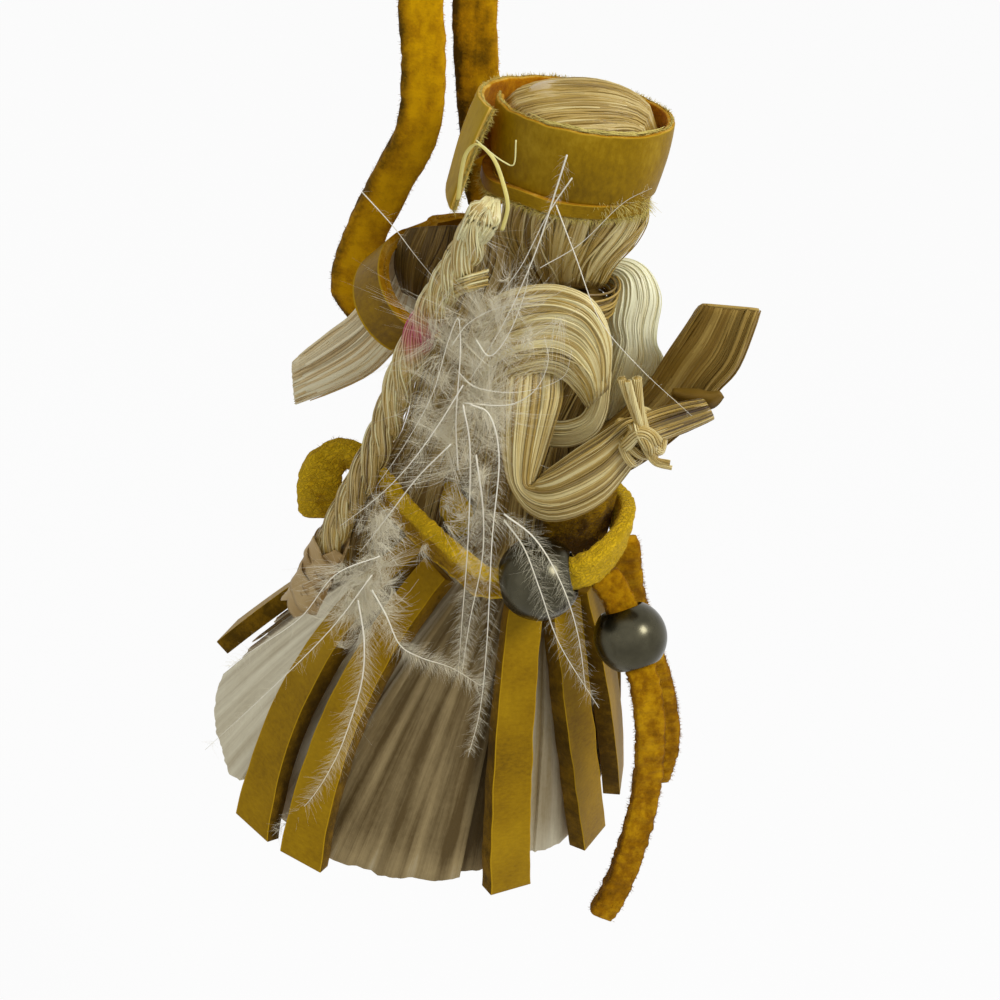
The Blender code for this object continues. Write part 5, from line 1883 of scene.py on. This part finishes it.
@dataclass
class Braid:
    """The twisted cord of husk fibre, the wrapping at its foot and the yellow strand."""

    diameter: float = 0.0034
    plies: int = 3
    pitch: tuple[float, float] = (0.0078, 0.0105)
    ply_radius: float = 0.00098
    strands: int = 25
    wrap_length: float = 0.0085
    bulge: float = 0.00148

    def make(self) -> None:
        """Build the braid, its wrapping and its strand."""
        line = smooth(BRAID_ROUTE, 20)
        turned = frames(line, [Vector((0, -1, 0.3))] * len(line))
        lengths = [0.0]
        for a, b in zip(line, line[1:]):
            lengths.append(lengths[-1] + (b - a).length)
        hank = Hank("braid", 3)
        self.twist_plies(hank, line, turned, lengths)
        self.top_fold(hank, line)
        self.crossed_fibres(hank)
        piece = hand_over(hank.make(), BRAID_STRAW, Slot.FIBRE, ["husk_braid"])
        wrap = self.wrapping(line, turned, lengths)
        path = [p - HANG_POINT for p in line]
        tuple(path[0])
        self.yellow_strand()

    def turns(self, lengths: Sequence[float]) -> list[float]:
        """How far the plies have turned at each length, tighter toward the foot and a little uneven."""
        found = [0.0]
        for a, b in zip(lengths, lengths[1:]):
            share = ease(b / 0.022)
            pitch = self.pitch[0] + (self.pitch[1] - self.pitch[0]) * share
            pitch *= 1 + 0.1 * math.sin(b * 620) + 0.06 * math.sin(b * 1490)
            found.append(found[-1] + math.tau * (b - a) / pitch)
        return found

    def twist_plies(
        self, hank: Hank, line: Sequence[Vector], turned: Sequence[Frame], lengths: Sequence[float]
    ) -> None:
        """Add the plies, each a body with fine strands over it."""
        pick = random.Random(23)
        turns = self.turns(lengths)
        stain = np.array([math.exp(-(((s - 0.0155) / 0.0021) ** 2)) for s in lengths])
        last = len(line) - 1
        ends = [min(1.0, 0.12 + 0.88 * i / 6, 0.45 + 0.55 * (last - i) / 6) for i in range(last + 1)]
        offset = self.bulge - self.ply_radius
        for ply in range(self.plies):
            middle = []
            for centre, (u, v), turn in zip(line, turned, turns):
                way = math.tau * ply / self.plies - turn
                middle.append(centre + u * offset * math.cos(way) + v * offset * math.sin(way))
            # The ply's body is darker than its strands: painted shade in the grooves between them.
            hank.strand(middle, [self.ply_radius * 0.93 * e for e in ends], 0.35, stain=stain * 0.9, sides=12)
            for k in range(self.strands):
                phase = math.tau * (k + pick.uniform(-0.3, 0.3)) / self.strands
                own = pick.uniform(0, math.tau)
                strand = []
                for i, (centre, (u, v)) in enumerate(zip(middle, turned)):
                    turn = phase - lengths[i] * 160 + 0.12 * math.sin(own + lengths[i] * 900)
                    reach = self.ply_radius * ends[i] * (1 + 0.03 * math.sin(own + lengths[i] * 1300))
                    strand.append(centre + (u * math.cos(turn) + v * math.sin(turn)) * reach)
                tone = pick.uniform(0.35, 1.25)
                tones = [tone - 0.42 * ease((s - 0.018) / 0.012) for s in lengths]
                hank.strand(strand, 0.00011, tones, flatness=0.6, stain=stain * pick.uniform(0.5, 1.0))

    def top_fold(self, hank: Hank, line: Sequence[Vector]) -> None:
        """Add the glossy fibres folded over the braid's top."""
        pick = random.Random(25)
        crest = VIEW.spot(489, 208, -9.6)
        sizes = [0.0011, 0.0011, 0.0011, 0.001, 0.0009, 0.0006, 0.0001]
        hank.strand(smooth([line[10], crest], 6), sizes, 0.6, sides=12)
        for k in range(130):
            away = pick.uniform(-1.15, 1.15) * MM
            crown = VIEW.spot(491, 201, -9.9) + Vector((away * 0.6, pick.uniform(-0.4, 0.4) * MM, 0))
            down = line[pick.randrange(16, 30)] + Vector((away * 1.1, -0.0012, 0.0))
            tone = pick.uniform(0.6, 1.1)
            bend = down.lerp(crown, 0.6) + Vector((away * 0.4, 0.0002 * math.cos(k) - 0.0008, 0))
            tucked = crown + Vector((0, 0.0011, -0.0007))
            hank.strand(smooth([down, bend, crown, tucked], 4), 0.00012, tone)

    def crossed_fibres(self, hank: Hank) -> None:
        """Add the few fibres wound across the braid under the head."""
        pick = random.Random(26)
        for _ in range(34):
            lift = pick.uniform(-9, 9)
            left = (446 + pick.uniform(-3, 3), 292 + lift, -9.2 + pick.uniform(-0.3, 0.3))
            middle = (465, 284 + lift * 0.9, -10.9 + pick.uniform(-0.2, 0.2))
            right = (486 + pick.uniform(-3, 3), 278 + lift, -9.2 + pick.uniform(-0.3, 0.3))
            hank.strand(smooth(seen((left, middle, right)), 6), 0.0001, pick.uniform(0.3, 0.9))

    def wrapping(
        self, line: Sequence[Vector], turned: Sequence[Frame], lengths: Sequence[float]
    ) -> Piece:
        """Build the husk ribbons wound round the braid's foot."""
        hank = Hank("braid_wrap", 8)
        pick = random.Random(24)
        total = lengths[-1]
        first = next(i for i, s in enumerate(lengths) if s > total - self.wrap_length)
        spots = np.array([tuple(p) for p in line])
        for layer in range(4):
            strand, widths = [], []
            steps = 90
            for i in range(steps + 1):
                share = i / steps
                s = total - self.wrap_length * (1 - 0.97 * share)
                at = min(range(first - 1, len(line)), key=lambda j: abs(lengths[j] - s))
                u, v = turned[at]
                turn = math.tau * (layer / 4 - 1.1 * share)
                radius = self.bulge + 0.00006 + 0.00006 * layer + 0.00006 * math.sin(5 * turn + layer)
                centre = Vector([np.interp(s, lengths, spots[:, axis]) for axis in range(3)])
                strand.append(centre + u * radius * math.cos(turn) + v * radius * math.sin(turn))
                widths.append(0.0016 * (0.9 + 0.12 * math.sin(share * 7 + layer)))
            hank.strand(strand, widths, pick.uniform(0.3, 0.6), tuple(line[-1] - line[first]), 0.09)
        return hand_over(hank.make(), WRAP_HUSK, Slot.HUSK, ["braid_binding"])

    def yellow_strand(self) -> None:
        """Build the loose yellow strand by the braid's top."""
        hank = Hank("loose_strand", 8)
        for shift, size in ((0.0, 0.00012), (0.0001, 0.00007), (-0.0001, 0.00007)):
            line = [p + Vector((shift, shift * 0.6, 0)) for p in smooth(THREAD_ROUTE, 10)]
            hank.strand(line, size, 0.6 + shift * 2000, (1, 0, 0), 0.7)
        thin = (
            (476, 140, -12.0), (490, 152, -12.2), (504, 162, -12.4), (514, 164, -12.5), (516, 140, -12.5),
        )
        hank.strand(smooth(seen(thin), 8), 0.00006, 0.9, (1, 0, 0), 0.7)
        hand_over(hank.make(), THREAD, Slot.THREAD, ["yellow_thread"])


# Feathers


@dataclass(frozen=True)
class Quill:
    """One long loose barb: its pixels with depths, its half width and its hairs."""

    route: tuple[Point, ...]
    owner: int
    hairs: int = 900
    hair_length: float = 0.0014
    size: float = 0.00013


@dataclass
class Feathers:
    """The white plumes: long bent barbs with short hairs, and a cloud of down at their roots."""

    quills: tuple[Quill, ...] = (
        Quill(((458, 470, -13.0), (456, 420, -13.0), (460, 360, -13.0), (460, 330, -13.0),
              (457, 319, -13.0), (447, 345, -13.0), (432, 395, -13.2), (404, 446, -13.6),
              (378, 484, -14.0)), 0, 300, 0.001, 0.0001),
        Quill(((463, 385, -13.6), (435, 430, -14.0), (404, 471, -14.6), (372, 502, -15.0),
              (340, 526, -15.2)), 0, 300, 0.001, 0.0001),
        Quill(((451, 444, -14.0), (417, 478, -14.4), (388, 516, -14.8), (360, 552, -15.2)), 0, 300, 0.001,
              0.00011),
        Quill(((380, 556, -15.0), (335, 575, -16.4), (300, 618, -17.2), (250, 652, -18.0),
              (228, 668, -18.3)), 0, 260, 0.0013, 0.00009),
        Quill(((372, 575, -15.6), (330, 630, -17.0), (270, 690, -18.4), (205, 750, -19.6)), 0, 260,
              0.0013, 0.00009),
        Quill(((358, 600, -16.0), (364, 640, -16.8), (362, 680, -17.8), (350, 722, -18.8),
              (335, 760, -19.8), (310, 800, -20.4), (272, 836, -21.0)), 0, 1500, 0.0017),
        Quill(((372, 590, -15.8), (386, 615, -16.2), (400, 645, -16.6), (422, 658, -16.8),
              (452, 668, -17.0), (484, 688, -17.2)), 1, 1400, 0.0017),
        Quill(((463, 405, -14.0), (470, 450, -14.2), (468, 540, -15.0), (462, 620, -15.9),
              (458, 676, -16.8)), 1, 1500),
        Quill(((476, 455, -14.4), (483, 510, -14.8), (482, 560, -15.4), (470, 620, -16.2),
              (462, 672, -16.9)), 1, 1000),
        Quill(((470, 404, -13.8), (490, 416, -14.2), (499, 460, -14.8), (492, 540, -15.8),
              (487, 640, -17.0), (480, 710, -17.5), (468, 757, -18.0)), 1, 1500),
        Quill(((504, 520, -15.4), (524, 548, -16.0), (540, 590, -16.8), (560, 645, -17.6),
              (599, 708, -18.4)), 2, 700),
        Quill(((504, 514, -15.6), (536, 540, -16.4), (562, 585, -17.2), (578, 635, -17.8),
              (586, 692, -18.2)), 2, 700),
        Quill(((567, 155, -13.4), (556, 190, -13.4), (540, 240, -13.5), (522, 285, -13.6),
              (500, 330, -13.8), (470, 380, -14.0)), 2, 260, 0.0010, 0.00012),
        Quill(((572, 178, -13.2), (548, 214, -13.3), (520, 268, -13.4), (494, 300, -13.4)), 2, 120,
              0.0009, 0.00009),
        Quill(((556, 205, -13.0), (575, 255, -13.2), (600, 320, -13.4), (640, 368, -13.4),
              (692, 416, -13.2)), 2, 40, 0.0008, 0.00008),
        Quill(((362, 192, -4.0), (392, 225, -6.0), (415, 255, -8.5), (438, 283, -10.6)), 1, 40, 0.0007,
              0.00008),
        Quill(((463, 403, -13.6), (508, 405, -13.8), (535, 390, -13.8), (548, 362, -13.6),
              (544, 335, -13.4)), 2, 260, 0.0009, 0.00009),
        Quill(((476, 340, -13.2), (490, 356, -13.4), (508, 335, -13.4), (524, 296, -13.4),
              (530, 262, -13.4)), 2, 260, 0.0009, 0.00011),
        Quill(((452, 345, -13.0), (470, 322, -13.2), (505, 306, -13.3), (545, 304, -13.3)), 0, 160,
              0.0008, 0.00007),
        Quill(((458, 372, -13.0), (478, 388, -13.4), (520, 392, -13.6), (562, 378, -13.6),
              (572, 350, -13.5)), 0, 160, 0.0008, 0.00007),
        Quill(((540, 268, -13.2), (580, 244, -13.2), (622, 204, -13.2), (652, 188, -13.2)), 2, 60, 0.0008,
              0.00006),
    )
    hair_radii: tuple[float, ...] = (0.0000075, 0.0000065, 0.000005, 0.000003)
    roots: tuple[tuple[Point, float, int, int], ...] = (
        ((480, 305, -10.2), 0.0044, 620, 2), ((470, 345, -10.4), 0.0046, 800, 0),
        ((478, 395, -10.8), 0.0048, 780, 1), ((458, 440, -11.0), 0.0046, 680, 2),
        ((466, 500, -11.8), 0.0038, 380, 0), ((366, 585, -13.9), 0.0034, 1300, 0),
        ((356, 612, -14.9), 0.0030, 800, 1), ((515, 335, -12.0), 0.0040, 300, 1),
        ((430, 420, -10.8), 0.0036, 450, 0), ((386, 526, -12.6), 0.0032, 800, 0),
    )

    def make(self) -> None:
        """Build the three plumes, each with its down."""
        plumes = [Hank(f"plume_{i + 1}") for i in range(3)]
        clouds = [Hank(f"down_{i + 1}") for i in range(3)]
        for number, quill in enumerate(self.quills):
            self.lay_quill(plumes[quill.owner], quill, np.random.default_rng(100 + number))
        for number, (centre, spread, count, owner) in enumerate(self.roots):
            pick = np.random.default_rng(200 + number)
            self.lay_down(clouds[owner], VIEW.spot(*centre), spread, count, pick)
        for i, (plume, cloud) in enumerate(zip(plumes, clouds)):
            hand_over(plume.make(), DOWN, Slot.DOWN, [f"feather_{i + 1}"])
            hand_over(cloud.make(), DOWN, Slot.DOWN)

    def lay_quill(self, hank: Hank, quill: Quill, pick: np.random.Generator) -> None:
        """Add one barb and its hairs."""
        line = smooth(seen(quill.route), 8)
        last = len(line) - 1
        sizes = [quill.size * 0.72 * (1 - 0.75 * i / last) for i in range(last + 1)]
        hank.strand(line, sizes, 1.0, sides=5)
        count = round(quill.hairs * 0.62)
        middle = np.array([tuple(p) for p in line])
        where = pick.random(count) ** 0.9 * 0.98 * last
        first = where.astype(int)
        root = middle[first] + (middle[first + 1] - middle[first]) * (where - first)[:, None]
        ahead = unit(middle[first + 1] - middle[first])
        back = np.array(tuple(VIEW.axes()[2]))
        side = unit(np.cross(ahead, back)) * pick.choice((-1.0, 1.0), count)[:, None]
        way = side + ahead * pick.uniform(0.2, 1.0, (count, 1)) + back * pick.normal(0, 0.45, (count, 1))
        way = unit(way)
        shorter = 1 - 0.35 * (where / last)[:, None] ** 3
        length = quill.hair_length * pick.uniform(0.3, 1.15, (count, 1)) * shorter
        curl = pick.normal(0, 0.25, (count, 3)) + np.array((0, 0, -0.12))
        steps = [root + (way * t + (ahead * 0.25 + curl) * t * t) * length for t in (0, 0.35, 0.7, 1.0)]
        hank.hairs(np.stack(steps, axis=1), self.hair_radii, pick.uniform(0, 0.8, count))

    def lay_down(
        self, hank: Hank, centre: Vector, spread: float, count: int, pick: np.random.Generator
    ) -> None:
        """Add a cloud of down round a root, in soft tufts whose fibres bend together."""
        size = 34
        tufts = max(1, count // size)

        def drawn(scale: Point, own: float) -> np.ndarray:
            """Random directions: one for each tuft, and a little more for each fibre."""
            shared = pick.normal(0, 1, (tufts, 3)) * np.array(scale)
            return np.repeat(shared, size, axis=0) + pick.normal(0, own, (tufts * size, 3))

        number = tufts * size
        root = np.array(tuple(centre)) + drawn((0.34, 0.14, 0.46), 0.06) * spread
        way = drawn((0.7, 0.3, 1.0), 0.3) + np.array((0, -0.1, -0.3))
        way = unit(way)
        bend, curl = drawn((0.5, 0.15, 0.5), 0.14), drawn((0.35, 0.1, 0.35), 0.12)
        length = spread * pick.uniform(0.3, 0.92, (number, 1))
        steps = [root + (way * t + bend * t**2 + curl * t**3) * length for t in (0, 0.2, 0.4, 0.6, 0.8, 1.0)]
        paths = np.stack(steps, axis=1)
        thick = np.arange(number) % 7 == 0
        radii = np.array((0.7, 1.0, 1.0, 0.85, 0.7, 0.3))
        tones = pick.uniform(0, 0.8, number)
        hank.hairs(paths[~thick], radii * 0.0000095, tones[~thick])
        hank.hairs(paths[thick], radii * 0.00002, tones[thick] * 0.5 + 0.5)


# Stage


@dataclass
class Studio:
    """Plain pale floor, soft lamps and a white background."""

    floor_height: float = -0.26
    sky: float = 0.50
    key: float = 0.95
    fill: float = 0.06

    def white_world(self) -> None:
        """Light the scene evenly, and show white to the camera and in reflections."""
        world = bpy.data.worlds.new("studio")
        bpy.context.scene.world = world
        world.use_nodes = True
        tree = world.node_tree
        tree.nodes.clear()
        out = tree.nodes.new("ShaderNodeOutputWorld")
        mix = tree.nodes.new("ShaderNodeMixShader")
        soft = tree.nodes.new("ShaderNodeBackground")
        white = tree.nodes.new("ShaderNodeBackground")
        soft.inputs["Color"].default_value = (1, 1, 1, 1)
        soft.inputs["Strength"].default_value = self.sky
        white.inputs["Color"].default_value = (1, 1, 1, 1)
        white.inputs["Strength"].default_value = 1.0
        tree.links.new(self.seen_directly(tree), mix.inputs["Fac"])
        tree.links.new(soft.outputs[0], mix.inputs[1])
        tree.links.new(white.outputs[0], mix.inputs[2])
        tree.links.new(mix.outputs[0], out.inputs["Surface"])

    def seen_directly(self, tree: bpy.types.NodeTree) -> Socket:
        """1 for rays from the camera, from gloss and through glass."""
        path = tree.nodes.new("ShaderNodeLightPath")
        total = path.outputs["Is Camera Ray"]
        for name in ("Is Glossy Ray", "Is Transmission Ray"):
            add = tree.nodes.new("ShaderNodeMath")
            add.operation = "MAXIMUM"
            tree.links.new(total, add.inputs[0])
            tree.links.new(path.outputs[name], add.inputs[1])
            total = add.outputs[0]
        return total

    def floor(self) -> None:
        """Lay the floor far below the hanging doll."""
        deselect()
        bpy.ops.mesh.primitive_plane_add(size=6.0, location=(0, 0, self.floor_height))
        floor = bpy.context.active_object
        floor.name = "floor"
        material = bpy.data.materials.new("floor")
        material.use_nodes = True
        tree = material.node_tree
        shader = tree.nodes["Principled BSDF"]
        shader.inputs["Base Color"].default_value = (0.9, 0.9, 0.9, 1)
        shader.inputs["Roughness"].default_value = 0.9
        shader.inputs["Specular IOR Level"].default_value = 0.0
        glow = tree.nodes.new("ShaderNodeEmission")
        glow.inputs["Strength"].default_value = 1.0
        share = tree.nodes.new("ShaderNodeMath")
        share.operation = "MULTIPLY"
        share.inputs[1].default_value = 0.93
        tree.links.new(self.seen_directly(tree), share.inputs[0])
        mix = tree.nodes.new("ShaderNodeMixShader")
        tree.links.new(share.outputs[0], mix.inputs["Fac"])
        tree.links.new(shader.outputs[0], mix.inputs[1])
        tree.links.new(glow.outputs[0], mix.inputs[2])
        tree.links.new(mix.outputs[0], tree.nodes["Material Output"].inputs["Surface"])
        floor.data.materials.append(material)

    def lamp(self, name: str, place: Point, size: float, power: float) -> None:
        """Hang one soft square lamp that faces the doll."""
        data = bpy.data.lights.new(name, "AREA")
        data.shape = "SQUARE"
        data.size = size
        data.energy = power
        lamp = bpy.data.objects.new(name, data)
        bpy.context.scene.collection.objects.link(lamp)
        middle = Vector(VIEW.target) - HANG_POINT
        lamp.location = middle + Vector(place)
        lamp.rotation_mode = "QUATERNION"
        lamp.rotation_quaternion = Vector(place).to_track_quat("Z", "Y")

    def make(self) -> None:
        """Set the stage."""
        bpy.context.scene.view_settings.view_transform = "Standard"
        self.white_world()
        self.floor()
        self.lamp("key_lamp", (0.22, -0.12, 0.36), 0.13, self.key)
        self.lamp("fill_lamp", (-0.35, -0.30, 0.10), 0.25, self.fill)


def main() -> None:
    """Build the doll, piece by piece."""
    logging.basicConfig(level=logging.INFO, format="%(name)s: %(message)s")
    VIEW.make_camera()
    Studio().make()
    Bead("belt_bead_metal", BELT_ROUTE, BELT_BEAD_STATION, Body.BELT_BEAD, 0.0080).make()
    tail_bead = Bead("tail_bead_metal", FRONT_TAIL_ROUTE, TAIL_BEAD_STATION, Body.TAIL_BEAD, 0.0071).make()
    Laces().make(tail_bead)
    Braid().make()
    Skirt().make()
    BAND.make()
    Sleeve().make()
    UpperBody().make()
    Feathers().make()


if __name__ == "__main__":
    main()
